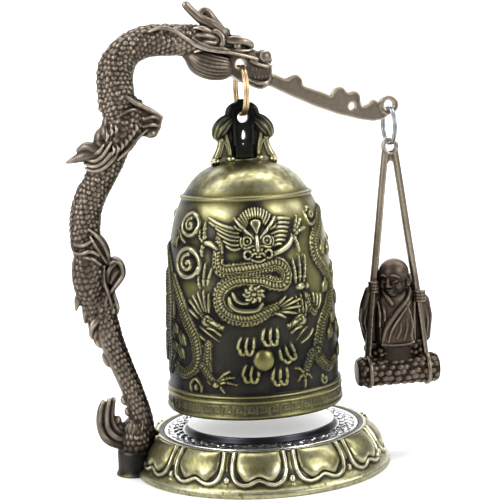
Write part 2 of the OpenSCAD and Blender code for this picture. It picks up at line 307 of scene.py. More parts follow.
def tube(points, radii, sides=20, depth=1.0, up=(0, 1, 0), steps=10, skin=None):
    """A round-ended rod along a smooth curve, depth times as thick along up.

    skin(along, angle, radius) adds to the radius, where angle 0 is to the right of the way it runs.
    """
    points = np.asarray(points, float)
    both = np.column_stack([points, np.broadcast_to(np.asarray(radii, float), len(points))])
    both = curve(both, steps * (len(points) - 1) + 1)
    path, radius = both[:, :3], np.maximum(both[:, 3], 0.05)
    way = np.gradient(path, axis=0)
    way /= np.linalg.norm(way, axis=1)[:, None]
    side = np.cross(np.asarray(up, float), way)
    side /= np.linalg.norm(side, axis=1)[:, None]
    lift = np.cross(way, side)
    along = lengths(path)
    turns = np.linspace(0.15, np.pi / 2, 6)[:-1]
    first = [(path[0] - way[0] * radius[0] * math.cos(a), radius[0] * math.sin(a)) for a in turns]
    last = [(path[-1] + way[-1] * radius[-1] * math.cos(a), radius[-1] * math.sin(a)) for a in turns[::-1]]
    centres = np.concatenate([[c for c, _ in first], path, [c for c, _ in last]])
    r = np.concatenate([[q for _, q in first], radius, [q for _, q in last]])
    side = np.concatenate([np.tile(side[0], (5, 1)), side, np.tile(side[-1], (5, 1))])
    lift = np.concatenate([np.tile(lift[0], (5, 1)), lift, np.tile(lift[-1], (5, 1))])
    along = np.concatenate([along[0] - radius[0] * np.cos(turns), along,
                            along[-1] + radius[-1] * np.cos(turns[::-1])])
    angle = np.linspace(0, 2 * np.pi, sides, endpoint=False)
    rr = np.broadcast_to(r[:, None], (len(r), sides))
    if skin is not None:
        rr = rr + skin(along[:, None], angle[None], r[:, None]) * (rr / rr.max(1).clip(0.3)[:, None]).clip(0, 1)
    verts = (centres[:, None] + (rr * np.cos(angle))[..., None] * side[:, None]
             + (depth * rr * np.sin(angle))[..., None] * lift[:, None]).reshape(-1, 3)
    return verts, capped(len(r), sides)


def blob(centre, radii, turn=0.0, sides=24):
    """An egg shape turned about Y."""
    u = np.linspace(0.12, np.pi - 0.12, sides // 2 + 1)[:, None]
    v = np.linspace(0, 2 * np.pi, sides, endpoint=False)[None]
    x, y, z = np.sin(u) * np.cos(v) * radii[0], np.sin(u) * np.sin(v) * radii[1], (np.cos(u) + 0 * v) * radii[2]
    c, s = math.cos(turn), math.sin(turn)
    verts = np.stack([centre[0] + x * c + z * s, centre[1] + y, centre[2] - x * s + z * c], -1).reshape(-1, 3)
    return verts, [face[::-1] for face in capped(len(u), sides)]


def slab(outline, thick, middle=0.0):
    """A flat plate that stands in the X-Z plane."""
    outline = np.asarray(outline, float)
    n = len(outline)
    front = np.column_stack([outline[:, 0], np.full(n, middle - thick / 2), outline[:, 1]])
    back = front + [0, thick, 0]
    faces = [list(range(n)), list(range(2 * n - 1, n - 1, -1))]
    faces += [[(k + 1) % n, k, n + k, n + (k + 1) % n] for k in range(n)]
    return np.concatenate([front, back]), faces


def bar(a, b, radius, sides=32):
    """A straight cylinder from a to b."""
    a, b = np.asarray(a, float), np.asarray(b, float)
    way = (b - a) / np.linalg.norm(b - a)
    side = np.cross(way, (0, 0, 1) if abs(way[2]) < 0.9 else (1, 0, 0))
    side /= np.linalg.norm(side)
    lift = np.cross(way, side)
    angle = np.linspace(0, 2 * np.pi, sides, endpoint=False)[:, None]
    ring = radius * (np.cos(angle) * side + np.sin(angle) * lift)
    faces = [[k, (k + 1) % sides, sides + (k + 1) % sides, sides + k] for k in range(sides)]
    faces += [list(range(sides - 1, -1, -1)), list(range(sides, 2 * sides))]
    return np.concatenate([a + ring, b + ring]), faces


def hole(x, z, radius):
    """A cutter that runs through everything from front to back."""
    return bar((x, -9, z), (x, 9, z), radius)


def both_sides(parts):
    """The parts and their mirror images behind the X-Z plane."""
    return parts + [(v * [1, -1, 1], [f[::-1] for f in faces]) for v, faces in parts]


def cast(name, parts, voxel, body, slot, replaces, cuts=(), smooth=2, reach=8, gain=0.5, base=0.45, tone_and_light=None):
    """One closed casting from overlapping shapes, less the cuts, its edges softened.

    Its wear says how far each point stands out from what is round it, plus what the tone function adds, which for
    some pieces is painted highlights and painted shade.
    """
    def temporary(label, pieces):
        verts, faces = join(pieces)
        mesh = bpy.data.meshes.new(label)
        mesh.from_pydata(verts.tolist(), [], faces)
        return linked(label, mesh)

    def skin(thing):
        layer = thing.modifiers.new("skin", "REMESH")
        layer.mode = "VOXEL"
        layer.voxel_size = voxel

    rough = temporary("rough", parts)
    helpers = [rough]
    skin(rough)
    if cuts:
        helpers.append(temporary("cutter", cuts))
        cut = rough.modifiers.new("cut", "BOOLEAN")
        cut.operation = "DIFFERENCE"
        cut.solver = "EXACT"
        cut.object = helpers[1]
        skin(rough)
    soften = rough.modifiers.new("soften", "SMOOTH")
    soften.factor = 0.5
    soften.iterations = smooth
    bpy.context.view_layer.update()
    mesh = bpy.data.meshes.new_from_object(rough.evaluated_get(bpy.context.evaluated_depsgraph_get()))
    mesh.name = name
    for thing in helpers:
        old = thing.data
        bpy.data.objects.remove(thing)
        bpy.data.meshes.remove(old)
    n = len(mesh.vertices)
    verts, normals = np.empty(3 * n, np.float32), np.empty(3 * n, np.float32)
    mesh.vertices.foreach_get("co", verts)
    mesh.vertex_normals.foreach_get("vector", normals)
    verts, normals = verts.reshape(-1, 3).astype(float), normals.reshape(-1, 3)
    edges = np.empty(2 * len(mesh.edges), np.int32)
    mesh.edges.foreach_get("vertices", edges)
    a, b = edges.reshape(-1, 2).T
    count = (np.bincount(a, minlength=n) + np.bincount(b, minlength=n)).clip(1)
    flat = verts.copy()
    for _ in range(reach):
        flat = np.stack([(np.bincount(a, flat[b, k], n) + np.bincount(b, flat[a, k], n)) / count
                         for k in range(3)], -1)
    wear_and_light = base + gain * ((verts - flat) * normals).sum(1) / voxel
    if tone_and_light is not None:
        wear_and_light = wear_and_light + tone_and_light(verts)
    mesh.vertices.foreach_set("co", (verts * MM).astype(np.float32).ravel())
    mesh.update()
    finish_piece(name, mesh, np.clip(wear_and_light, 0, 1), body, slot, replaces)


# ---- materials ----

class Shader:
    """A material's nodes, and the ways in which they are added here."""

    def __init__(self, name):
        self.material = bpy.data.materials.new(name)
        self.material.use_nodes = True
        self.nodes = self.material.node_tree.nodes
        self.surface = self.nodes["Principled BSDF"]

    def link(self, output, node, socket):
        self.material.node_tree.links.new(output, node.inputs[socket])

    def noise(self, scale, detail):
        """A noise factor with so many features per metre."""
        texture = self.nodes.new("ShaderNodeTexNoise")
        for socket, value in (("Scale", scale), ("Detail", detail), ("Roughness", 0.6)):
            texture.inputs[socket].default_value = value
        self.link(self.nodes.new("ShaderNodeTexCoord").outputs["Object"], texture, "Vector")
        return texture.outputs["Fac"]

    def math(self, kind, *values, clamp=False):
        node = self.nodes.new("ShaderNodeMath")
        node.operation, node.use_clamp = kind, clamp
        for k, value in enumerate(values):
            if isinstance(value, float):
                node.inputs[k].default_value = value
            else:
                self.link(value, node, k)
        return node.outputs[0]

    def ramp(self, factor, stops, socket):
        """Lets a colour ramp over factor drive the surface; stops are (position, colour or grey)."""
        node = self.nodes.new("ShaderNodeValToRGB")
        self.link(factor, node, "Fac")
        elements = node.color_ramp.elements
        while len(elements) < len(stops):
            elements.new(0.5)
        for element, (position, value) in zip(elements, stops):
            element.position = position
            element.color = (*value, 1) if isinstance(value, tuple) else (value, value, value, 1)
        self.link(node.outputs["Color"], self.surface, socket)


PATCHES, PITS = 90, 900    # features per metre


def cast_metal(name, colours, roughs, grain=0.15, bump=0.00006, metal=1.0, coat=0.0, painted_glow=None):
    """Antiqued metal: colour and roughness follow how worn each place is, from hollow to ridge, with painted light
    and shade in that level too; a glow, if given, is painted light.
    """
    tree = Shader(name)
    surface = tree.surface
    worn_and_lit = tree.nodes.new("ShaderNodeAttribute")
    worn_and_lit.attribute_name = "wear_and_light"
    coarse, fine = tree.noise(PATCHES, 5), tree.noise(PITS, 3)
    spread = tree.math("MULTIPLY_ADD", coarse, grain * 2, -grain)
    speck = tree.math("MULTIPLY_ADD", fine, grain, -grain / 2)
    level = tree.math("ADD", tree.math("ADD", worn_and_lit.outputs["Fac"], spread), speck, clamp=True)
    tree.ramp(level, colours, "Base Color")
    tree.ramp(level, roughs, "Roughness")
    if isinstance(metal, float):
        surface.inputs["Metallic"].default_value = metal
    else:
        tree.ramp(level, metal, "Metallic")
    surface.inputs["Coat Weight"].default_value = coat
    surface.inputs["Coat Roughness"].default_value = 0.25
    # A glow painted on the surface, which is no lamp: it stands in for a reflection of bright surroundings.
    if painted_glow:
        surface.inputs["Emission Color"].default_value = (0.95, 0.95, 0.93, 1)
        tree.ramp(level, painted_glow, "Emission Strength")
    lift = tree.nodes.new("ShaderNodeBump")
    lift.inputs["Distance"].default_value = bump
    lift.inputs["Strength"].default_value = 0.6
    tree.link(tree.math("ADD", fine, coarse), lift, "Height")
    tree.link(lift.outputs["Normal"], surface, "Normal")
    return tree.material


finishes = {
    "antique_brass": cast_metal(
        "antique_brass_patina",
        [(0.0, (0.006, 0.006, 0.0065)), (0.28, (0.036, 0.034, 0.027)), (0.55, (0.168, 0.154, 0.056)),
         (0.78, (0.37, 0.352, 0.215)), (1.0, (0.62, 0.60, 0.48))],
        [(0.0, 0.5), (0.4, 0.42), (0.8, 0.3), (1.0, 0.26)], coat=0.05),
    "dark_bronze": cast_metal(
        "dark_bronze_patina",
        [(0.0, (0.009, 0.007, 0.006)), (0.35, (0.045, 0.035, 0.027)), (0.62, (0.145, 0.118, 0.092)),
         (0.85, (0.34, 0.29, 0.23)), (1.0, (0.62, 0.56, 0.46))],
        [(0.0, 0.6), (0.5, 0.42), (1.0, 0.32)]),
    "black_patina": cast_metal(
        "black_patina",
        [(0.0, (0.006, 0.006, 0.006)), (0.4, (0.035, 0.035, 0.028)), (0.65, (0.12, 0.115, 0.06)),
         (0.85, (0.30, 0.28, 0.15)), (1.0, (0.60, 0.57, 0.38))],
        [(0.0, 0.5), (0.5, 0.4), (1.0, 0.28)]),
    "beam_bronze": cast_metal(
        "beam_bronze_patina",
        [(0.0, (0.010, 0.008, 0.006)), (0.35, (0.065, 0.052, 0.040)), (0.6, (0.185, 0.153, 0.116)),
         (0.85, (0.38, 0.33, 0.26)), (1.0, (0.62, 0.56, 0.46))],
        [(0.0, 0.6), (0.5, 0.42), (1.0, 0.3)]),
    "monk_bronze": cast_metal(
        "monk_bronze_patina",
        [(0.0, (0.008, 0.006, 0.005)), (0.35, (0.05, 0.038, 0.029)), (0.6, (0.15, 0.118, 0.09)),
         (0.85, (0.36, 0.30, 0.23)), (1.0, (0.6, 0.53, 0.42))],
        [(0.0, 0.6), (0.5, 0.45), (1.0, 0.32)]),
    # The plate's border is bright metal; its flat disc, at the top of each ramp, is pale, hardly metallic and glows a
    # little: a painted reflection of bright surroundings.
    "mirror_plate": cast_metal(
        "chromed_plate",
        [(0.0, (0.02, 0.02, 0.025)), (0.35, (0.10, 0.10, 0.11)), (0.6, (0.42, 0.42, 0.43)),
         (0.88, (0.62, 0.61, 0.60)), (0.95, (0.50, 0.50, 0.49))],
        [(0.0, 0.35), (0.6, 0.25), (0.88, 0.2), (0.95, 0.3)],
        grain=0.02, bump=0.000003, metal=[(0.88, 0.9), (0.95, 0.1)], painted_glow=[(0.9, 0.0), (0.96, 0.38)]),
    "gold_wire": cast_metal(
        "gold_wire", [(0.0, (0.30, 0.20, 0.09)), (1.0, (0.72, 0.56, 0.34))], [(0.0, 0.4), (1.0, 0.3)],
        grain=0.04, bump=0.000005),
    "steel_wire": cast_metal(
        "steel_wire", [(0.0, (0.10, 0.10, 0.11)), (1.0, (0.40, 0.41, 0.43))], [(0.0, 0.4), (1.0, 0.3)],
        grain=0.04, bump=0.000005),
    "fastener_steel": cast_metal(
        "zinc_plated_steel",
        [(0.0, (0.16, 0.16, 0.16)), (0.6, (0.36, 0.36, 0.37)), (1.0, (0.55, 0.55, 0.57))],
        [(0.0, 0.5), (1.0, 0.34)], grain=0.25, bump=0.00002),
}


# ---- the bell ----

# The relief is drawn on one panel that goes half way round, so the bell's back repeats its front.
BELL_STEP = 0.15
PANEL_AT = -8            # degrees from the front to the panel's zero
per_degree = math.radians(1) * ((bell_high[0] - bell_low[0]) / 2 - 0.2) * 0.98
panel_w = 180 * per_degree
dome_ring_z = dome_z - 11.2
relief = Relief(panel_w, lip_z, dome_z, BELL_STEP)


def on_panel(points):
    """Points given as (degrees from the panel's zero, height) in millimetres round the bell."""
    p = np.asarray(points, float).reshape(-1, 2)
    lean = 0.06 * (p[:, 1] - 30)
    return np.column_stack([(p[:, 0] + PANEL_AT - lean) * per_degree + panel_w / 2, p[:, 1]])


def stroke(points, width, height, **more):
    relief.stroke(on_panel(points), width, height, **more)


def dome(point, rx, rz, height, **more):
    relief.dome(on_panel(point)[0], rx, rz, height, **more)


def serpent(points, widths, height, **more):
    relief.serpent(on_panel(points), widths, height, **more)


def spiral(centre, radius, turns, width, height, **more):
    relief.spiral(on_panel(centre)[0], radius, turns, width, height, **more)


def finger(points, width=0.6, height=0.95):
    """A jointed toe: a ridge with knuckles that ends in a pointed nail."""
    stroke(points, width, height, ends=0.55, moat=0.25)
    path = curve(np.array(points, float), 9) if len(points) > 2 else np.linspace(points[0], points[1], 9)
    dome(path[2], width * 1.35, width * 1.3, height * 1.1, moat=0.03)
    dome(path[5], width * 1.15, width * 1.2, height * 1.05, moat=0.03)


def toe(root, tip, bow, width=0.46, height=0.85):
    """A toe from root to tip whose middle is moved by bow."""
    finger([root, ((root[0] + tip[0]) / 2 + bow[0], (root[1] + tip[1]) / 2 + bow[1]), tip], width, height)


def clumps(places, way):
    """Clumps of three curved scales that sweep to the right if way is 1 and to the left if it is -1."""
    for a, z in places:
        for k in (-1, 0, 1):
            stroke([(a + 1.8 * k, z - 2), (a + 2.4 * k + 1.2 * way, z),
                    (a + 1.2 * k + 3 * way, z + 2.4 - 0.8 * abs(k))], 0.42, 0.7)


def tufts(roots, tips, width=0.5, height=0.85, sag=0.4):
    """Locks of hair between two lines."""
    roots, tips = np.array(roots, float), np.array(tips, float)
    for a, b in zip(roots, tips):
        middle = (a + b) / 2 + [0, sag]
        stroke([a, middle, b], width, height, ends=0.45)


def small_head(eye, snout, flip):
    """The head of a flank dragon seen from the side; flip is the way it faces."""
    ex, ez = eye
    sx, sz = snout
    dome((ex - flip * 1.5, ez + 0.2), 2.3, 2.0, 1.05, moat=0.3)
    stroke([(ex, ez + 0.3), ((ex + sx) / 2, (ez + sz) / 2 + 0.4), (sx, sz)], 0.95, 1.05, ends=0.75)
    dome((sx, sz + 0.35), 0.75, 0.7, 1.25, moat=0.15)
    stroke([(ex - flip * 3, ez + 1.6), (ex, ez + 1.5), (ex + flip * 2.5, ez + 0.7)], 0.4, 1.35, ends=0.5)
    dome((ex, ez + 0.45), 0.5, 0.5, 1.55, moat=0.2)
    stroke([(ex - flip * 2, ez - 1.9), (ex + flip * 3, ez - 2.3), (sx - flip * 1.5, sz - 2.0)], 0.55, 0.85, ends=0.6)
    for k in range(4):
        dome((ex + flip * (1.5 + 1.9 * k), ez - 1.15 - 0.25 * k), 0.24, 0.32, 0.95, moat=0.1)
    stroke([(ex - flip * 5, ez + 1), (ex - flip * 7.5, ez + 2.6), (ex - flip * 11, ez + 2.8)], 0.42, 0.9)
    stroke([(ex - flip * 4.5, ez + 2), (ex - flip * 6.5, ez + 4), (ex - flip * 9, ez + 5)], 0.42, 0.9)


def right_flank():
    """The dragon that climbs down the right side and turns its head to the pearl."""
    serpent([(86, 80), (76, 78), (68, 75.3), (60, 72.6), (56, 69.7), (57.5, 66.3), (64, 63), (69, 59.5), (70, 55.6),
             (64, 51), (56, 47.5), (51.5, 44), (48.3, 40.8), (47, 37.6), (52, 34.6), (60, 32.6), (68, 34.4)],
            [0.8, 1.7, 2.0, 1.9, 1.9, 1.8, 1.7, 1.5, 0.9], 1.0, scale=0.9, fins=0.45)
    small_head((33, 48.6), (25.5, 47.2), -1)
    for k in range(7):
        a = 34 + 2.7 * k
        stroke([(a, 50.6), (a - 0.4 + 0.5 * k, 52.8), (a - 1.4 + 1.1 * k, 56.6 - 0.35 * abs(k - 2))], 0.48, 0.85)
    for whisker in ([(45, 45.5), (39.5, 43.2), (33, 41.6)], [(40, 46.4), (35, 45.2), (30, 42.8)]):
        stroke(whisker, 0.3, 0.7)
    serpent([(47, 50.6), (43.5, 52.6), (42, 55.6)], [1.2, 1.1, 0.9], 0.85, fins=0.2)
    for low, high in (((33.5, 59.6), (33, 66.8)), ((36.6, 59.8), (38.4, 67.6)), ((40, 59.6), (43.6, 67.4))):
        toe(low, high, (0.5, 0), 0.52, 0.95)
    dome((37, 58.6), 1.9, 1.2, 1.0)
    dome((42.5, 58.4), 0.8, 0.9, 1.0)
    serpent([(47, 38.4), (42, 37.8), (38, 35.4), (35.4, 32.8)], [1.5, 1.3, 1.0], 0.85, fins=0.3)
    for tip in ((27, 34.6), (29.5, 30.6), (34.5, 28.4), (40, 30.6)):
        toe((34.6, 32.2), tip, (0, 0.7))
    spiral((53, 29.3), 2.2, 1.5, 0.5, 0.75, start=2.2, flip=1)
    clumps(((62, 43), (68, 47.5), (76, 44), (61, 57.5), (79, 60), (77, 68), (64, 68.4), (84, 52), (77, 36), (86, 41)),
           1)


def left_flank():
    """The dragon of the left side, nearer to the front, with its mane blown back."""
    small_head((-27, 49.5), (-18.4, 47.6), 1)
    tufts([(-29, 52.4), (-30.5, 52.6), (-32.4, 52.2), (-34.4, 51.6), (-36, 50.4), (-27, 52.2)],
          [(-31, 58.4), (-35.6, 58), (-40, 57), (-43.4, 55.4), (-45.6, 52.8), (-26.6, 57.6)], 0.52, 0.9, 0.5)
    for a, b, c in (((-44, 49.6), (-35.5, 45.4), (-27, 42.8)), ((-43, 47.6), (-37, 43.6), (-29.5, 40.8)),
                    ((-35, 48), (-28, 46), (-21, 43.8))):
        stroke([a, b, c], 0.36, 0.75)
    serpent([(-62, 61), (-56, 57), (-50, 52.6), (-44, 48), (-39.6, 44.6), (-38, 41), (-38.4, 37.6), (-43, 34.6),
             (-52, 33), (-60, 35)], [1.5, 1.9, 1.9, 1.8, 1.6, 1.0], 1.0, scale=0.9, fins=0.45)
    serpent([(-29, 42.4), (-30.4, 38.6), (-31, 35), (-29, 31.8)], [1.0, 1.4, 1.4, 1.0], 0.9, fins=0.5)
    serpent([(-34, 36), (-30, 33.4), (-26, 31.2)], [1.2, 1.1, 0.9], 0.85, fins=0.2)
    for tip in ((-15, 34.8), (-12.4, 33), (-11.4, 30.8), (-20, 28.3)):
        toe((-25.4, 30.6), tip, (0, 0.8))
    dome((-25.4, 30.6), 1.3, 1.1, 1.0)
    for low, high in (((-27.6, 60.4), (-22.8, 66)), ((-30.5, 60.2), (-28.6, 66.6)), ((-33.6, 59.4), (-34.4, 64.6))):
        toe(low, high, (-0.4, 0))
    stroke([(-45.6, 28.2), (-45.6, 30.2), (-41, 32), (-36.6, 30.2), (-36.8, 28.2)], 0.55, 0.85, ends=0.6)
    dome((-41.2, 29.3), 0.85, 1.15, 0.8)
    serpent([(-84, 62), (-79, 56), (-76, 49), (-78, 42), (-84, 36)], [1.0, 1.7, 2.0, 1.7, 1.0], 0.9, fins=0.5)
    serpent([(-80, 70), (-73, 66), (-68, 60), (-66, 53), (-68, 46), (-66, 39), (-72, 33)],
            [1.4, 2.6, 3.0, 2.8, 1.4], 0.95, scale=0.9, fins=0.4)
    clumps(((-58, 46.5), (-59, 41), (-52, 39.5), (-50, 43.6), (-76, 54), (-78, 43)), -1)


def clouds():
    """Curled clouds high on the left, and a small one high on the right."""
    tufts([(-60, 76.6), (-58, 76), (-55.6, 75.4)], [(-52, 73), (-50.4, 72.6), (-48.6, 72.4)], 0.45, 0.75, -0.5)
    for a in (-65, -62.5, -60):
        stroke([(a, 70.6), (a + 1, 72.8), (a + 3.6, 74.4)], 0.45, 0.7)
    for centre, radius, width, wide in (((-44.6, 66.3), 5.3, 0.98, 1.22), ((-44, 77.6), 4.1, 0.86, 1.26)):
        spiral(centre, radius, 1.05, width, 1.0, start=-0.6, flip=1, inner=0.95, wide=wide)
        spiral(centre, radius - 1.65 * width, 1.5, width * 0.84, 0.95, start=1.5, flip=1, wide=wide)
    spiral((60, 79.2), 2.5, 1.6, 0.5, 0.75, start=2.6, flip=-1)
    stroke([(53.4, 80.2), (54.4, 77), (59, 75.9), (66, 77.2)], 0.45, 0.7)


def front_dragon():
    """The coiled dragon with its face to the front."""
    serpent([(-17.6, 73.8), (-18.6, 71), (-19.4, 68), (-18.6, 65.6), (-14, 64.5), (-7, 64.6), (3, 65), (13, 65.6),
             (20, 66.1), (25, 64.9), (27, 62.3), (24, 60), (17, 60.3), (11, 61.4), (3, 61.9), (-5, 62), (-12, 61),
             (-17.4, 59), (-19.4, 56.6), (-18, 53.8), (-13.6, 51.6), (-7, 50.5), (0, 50.3), (6, 51), (12, 52.2),
             (19, 53.3), (24, 53.8)],
            [1.2, 1.8, 1.95, 1.9, 1.75, 1.7, 1.8, 1.85, 1.7, 1.0], 1.1, scale=0.92, fins=0.42)
    tufts([(19.5, 53.8), (20.5, 53.4), (21, 52.8), (20, 52.2), (18.6, 51.8), (16, 51.6)],
          [(25, 56.2), (30.4, 55.6), (36, 54.9), (35.6, 52.7), (32, 50.7), (24, 49.9)], 0.55, 0.9, 0.2)
    # A crescent and a rosette in the coil.
    stroke([(-12.5, 56.6), (-11.6, 54.6), (-7.6, 53.1), (-1, 52.6), (5.6, 52.9), (8.8, 54.5)], 0.95, 1.1, ends=0.5,
           moat=0.15)
    stroke([(-10.2, 58.2), (-8.4, 56.2), (-4.4, 55), (0, 54.9)], 0.62, 0.9, moat=0.1)
    heart = (4, 57.5)
    dome(heart, 3.3, 2.6, 0.8, power=0.35, moat=0.2)
    for k in range(9):
        turn = math.radians(20 + 40 * k)
        stroke([(heart[0] + rx * math.cos(turn + twist) / per_degree, heart[1] + rz * math.sin(turn + twist))
                for rx, rz, twist in ((0.9, 0.8, 0), (2.1, 1.7, 0.3), (3.1, 2.4, 0))], 0.6, 1.15, ends=0.7, moat=0.06)
    dome(heart, 0.95, 0.8, 1.3, moat=0.1)
    # Streaming hair on both sides of the face.
    for a, b in (((-4, 76.4), (-27, 79.7)), ((-4, 75.3), (-26.4, 78.5)), ((-3.6, 74.2), (-21, 76.9)),
                 ((-3.4, 73.1), (-19.5, 75.5)), ((-3.4, 72), (-15, 73.3)), ((-3.4, 70.9), (-13, 71.7))):
        stroke([a, ((a[0] + b[0]) / 2, (a[1] + b[1]) / 2 - 0.55), b], 0.56, 0.95, ends=0.5)
    for k in range(7):
        z = 78.6 - 1.2 * k
        stroke([(20 - 0.4 * k, z - 0.35), (27.4 - 0.7 * k, z + 0.25), (36.6 - 1.5 * k, z - 0.1)], 0.54, 0.95,
               ends=0.5)
    # The claws at both sides.
    finger([(-29, 72.9), (-29.8, 75.8), (-29.2, 78.6)], 0.6, 1.0)
    finger([(-29.4, 72.6), (-33.2, 74), (-33.4, 76.2)], 0.5, 0.9)
    finger([(-29.6, 72.2), (-31.6, 70.6), (-31.2, 68.8)], 0.6, 1.0)
    stroke([(-28.6, 72.6), (-24, 72.2), (-19.4, 71)], 0.95, 0.9, ends=0.8)
    stroke([(20, 68.9), (26, 69.9), (31.4, 71.2), (35.8, 73.4)], 1.15, 0.95, ends=0.8)
    for tip in ((43.2, 79), (46.6, 77.9), (49.2, 75.4), (40, 68.9)):
        toe((36.4, 73.6), tip, (0.3, 0.4), 0.56, 1.0)
    # Mane fan over the forehead.
    root = np.array([9.2, 73.2])
    rim = curve(np.array([(-4.4, 78.8), (-1, 80.5), (4, 81.7), (9.5, 82.1), (15, 81.7), (20, 80.4), (24.4, 78.6)]),
                15)
    for point in rim:
        away = (point - root) * [per_degree, 1]
        back = point - away / np.hypot(*away) * 3.3 / [per_degree, 1]
        stroke([back, (back + point) / 2 + [0.2, 0.1], point], 0.5, 1.0, ends=0.75)
    # Face.
    dome((8.8, 73.2), 4.6, 4.2, 0.75, power=0.35)
    relief.facet(on_panel([(9.1, 73.4), (14.2, 77.6), (13.2, 79.0), (9.0, 79.5), (4.8, 79.0), (3.8, 77.6)]), 1.25,
                 1.0)
    for side in (-1, 1):
        def m(a, z):
            return (8.9 + side * a, z)
        stroke([m(1.6, 73.3), m(5.4, 74.9), m(9.6, 76.7), m(15.4, 79.4)], 0.62, 1.55, ends=0.5, moat=0.3)
        stroke([m(9.4, 76), m(13.4, 76.6), m(15.6, 77.6)], 0.4, 1.1)
        relief.ring(on_panel(m(6.9, 72.9))[0], 1.25, 0.42, 1.35)
        dome(m(6.7, 72.9), 0.55, 0.55, 1.4, moat=0.1)
        stroke([m(10.6, 74.2), m(11.4, 72.6), m(10, 70.9)], 0.42, 1.1, ends=0.6)
        stroke([m(1.2, 71.2), m(3.8, 71.5), m(6.6, 70.9), m(9.4, 71)], 0.45, 1.2, ends=0.6)
        relief.ring(on_panel(m(7.0, 69.0))[0], 1.15, 0.42, 1.2)
        dome(m(2.3, 70.3), 0.7, 0.55, 1.5, moat=0.15)
        stroke([m(0.6, 69.1), m(3, 69.3), m(4.6, 68.4)], 0.42, 1.15, ends=0.6)
    stroke([(8.9, 74), (8.9, 70.2)], 0.85, 1.5, ends=0.85, moat=0.2)
    stroke([(4.6, 67.5), (8.9, 66.9), (13.2, 67.5)], 0.5, 1.15, ends=0.7)
    dome((8.9, 68.3), 1.2, 0.5, 0.9, moat=0.1)


def pearl_and_flames():
    """The pearl below the coil and five trident flames round it."""
    for a, z, lean in ((-3.4, 41.9, -4), (-1.6, 33.6, -6), (12.4, 44.3, 0), (23.4, 38.9, 24), (17, 32.2, 2)):
        c, s = math.cos(math.radians(lean)), math.sin(math.radians(lean))

        def spot(x, y, a=a, z=z, c=c, s=s):
            return (a + (x * c - y * s) / per_degree, z + x * s + y * c)
        for x in (-1.9, 0, 1.9):
            stroke([spot(x, -1.4), spot(x * 1.2 - 0.15, 0.2), spot(x + 0.35, 2.9)], 0.62, 1.1, ends=0.2, moat=0)
        for x in (-0.95, 0.95):
            stroke([spot(x - 0.95, -0.9), spot(x - 0.55, -1.9), spot(x + 0.55, -1.9), spot(x + 0.95, -0.9)], 0.66,
                   1.1,
                   ends=0.95, moat=0)
    dome((7, 37.9), 3.35, 3.6, 1.7, power=0.55, moat=0.3)


left_flank()
right_flank()
clouds()
front_dragon()
pearl_and_flames()


def bands():
    """The beads and the key pattern that run right round."""
    z = relief.low + np.arange(relief.ny) * relief.step
    for height, half, rise in ((26.9, 0.5, 0.75), (25.3, 0.5, 0.75), (dome_ring_z, 0.65, 0.85), (21.0, 0.4, 0.3)):
        relief.h = np.maximum(relief.h, rise * arc((z - height) / half)[:, None])
    keys, low, high = 24, 21.7, 24.4
    unit = panel_w / keys
    key = np.array([(0.05, 0.08), (0.05, 0.92), (0.85, 0.92), (0.85, 0.3), (0.42, 0.3), (0.42, 0.62), (0.62, 0.62)])
    for k in range(keys):
        path = np.column_stack([k * unit + key[:, 0] * unit * 0.95, low + key[:, 1] * (high - low)])
        for side in zip(path[:-1], path[1:]):
            relief.stroke(side, 0.24, 0.26, ends=1.0, moat=0.05)


bands()

BELL_HEIGHT, BELL_WALL = 76, 2.2
# Radius at each height above the lip.
BELL_PROFILE = [(0.0, 27.0), (0.5, 27.15), (5.2, 26.6), (6.6, 26.2), (12, 26.4), (20, 26.4), (30, 26.05), (40, 25.35),
                (50, 24.3), (56, 23.2), (61, 21.6), (64.4, 19.9), (65.8, 19.1), (69, 17.2), (72.2, 13.9),
                (74.2, 10.4), (75.4, 6.5), (75.9, 0.0)]


def mottle(points, seed, short, long):
    """Cloudy variation in space with a spread of one, from waves between two lengths in millimetres."""
    rng = np.random.default_rng(seed)
    total = np.zeros(len(points))
    for _ in range(40):
        way = rng.standard_normal(3)
        way *= 2 * np.pi / rng.uniform(short, long) / np.linalg.norm(way)
        total += np.sin(points @ way + rng.uniform(0, 2 * np.pi))
    return total / total.std()


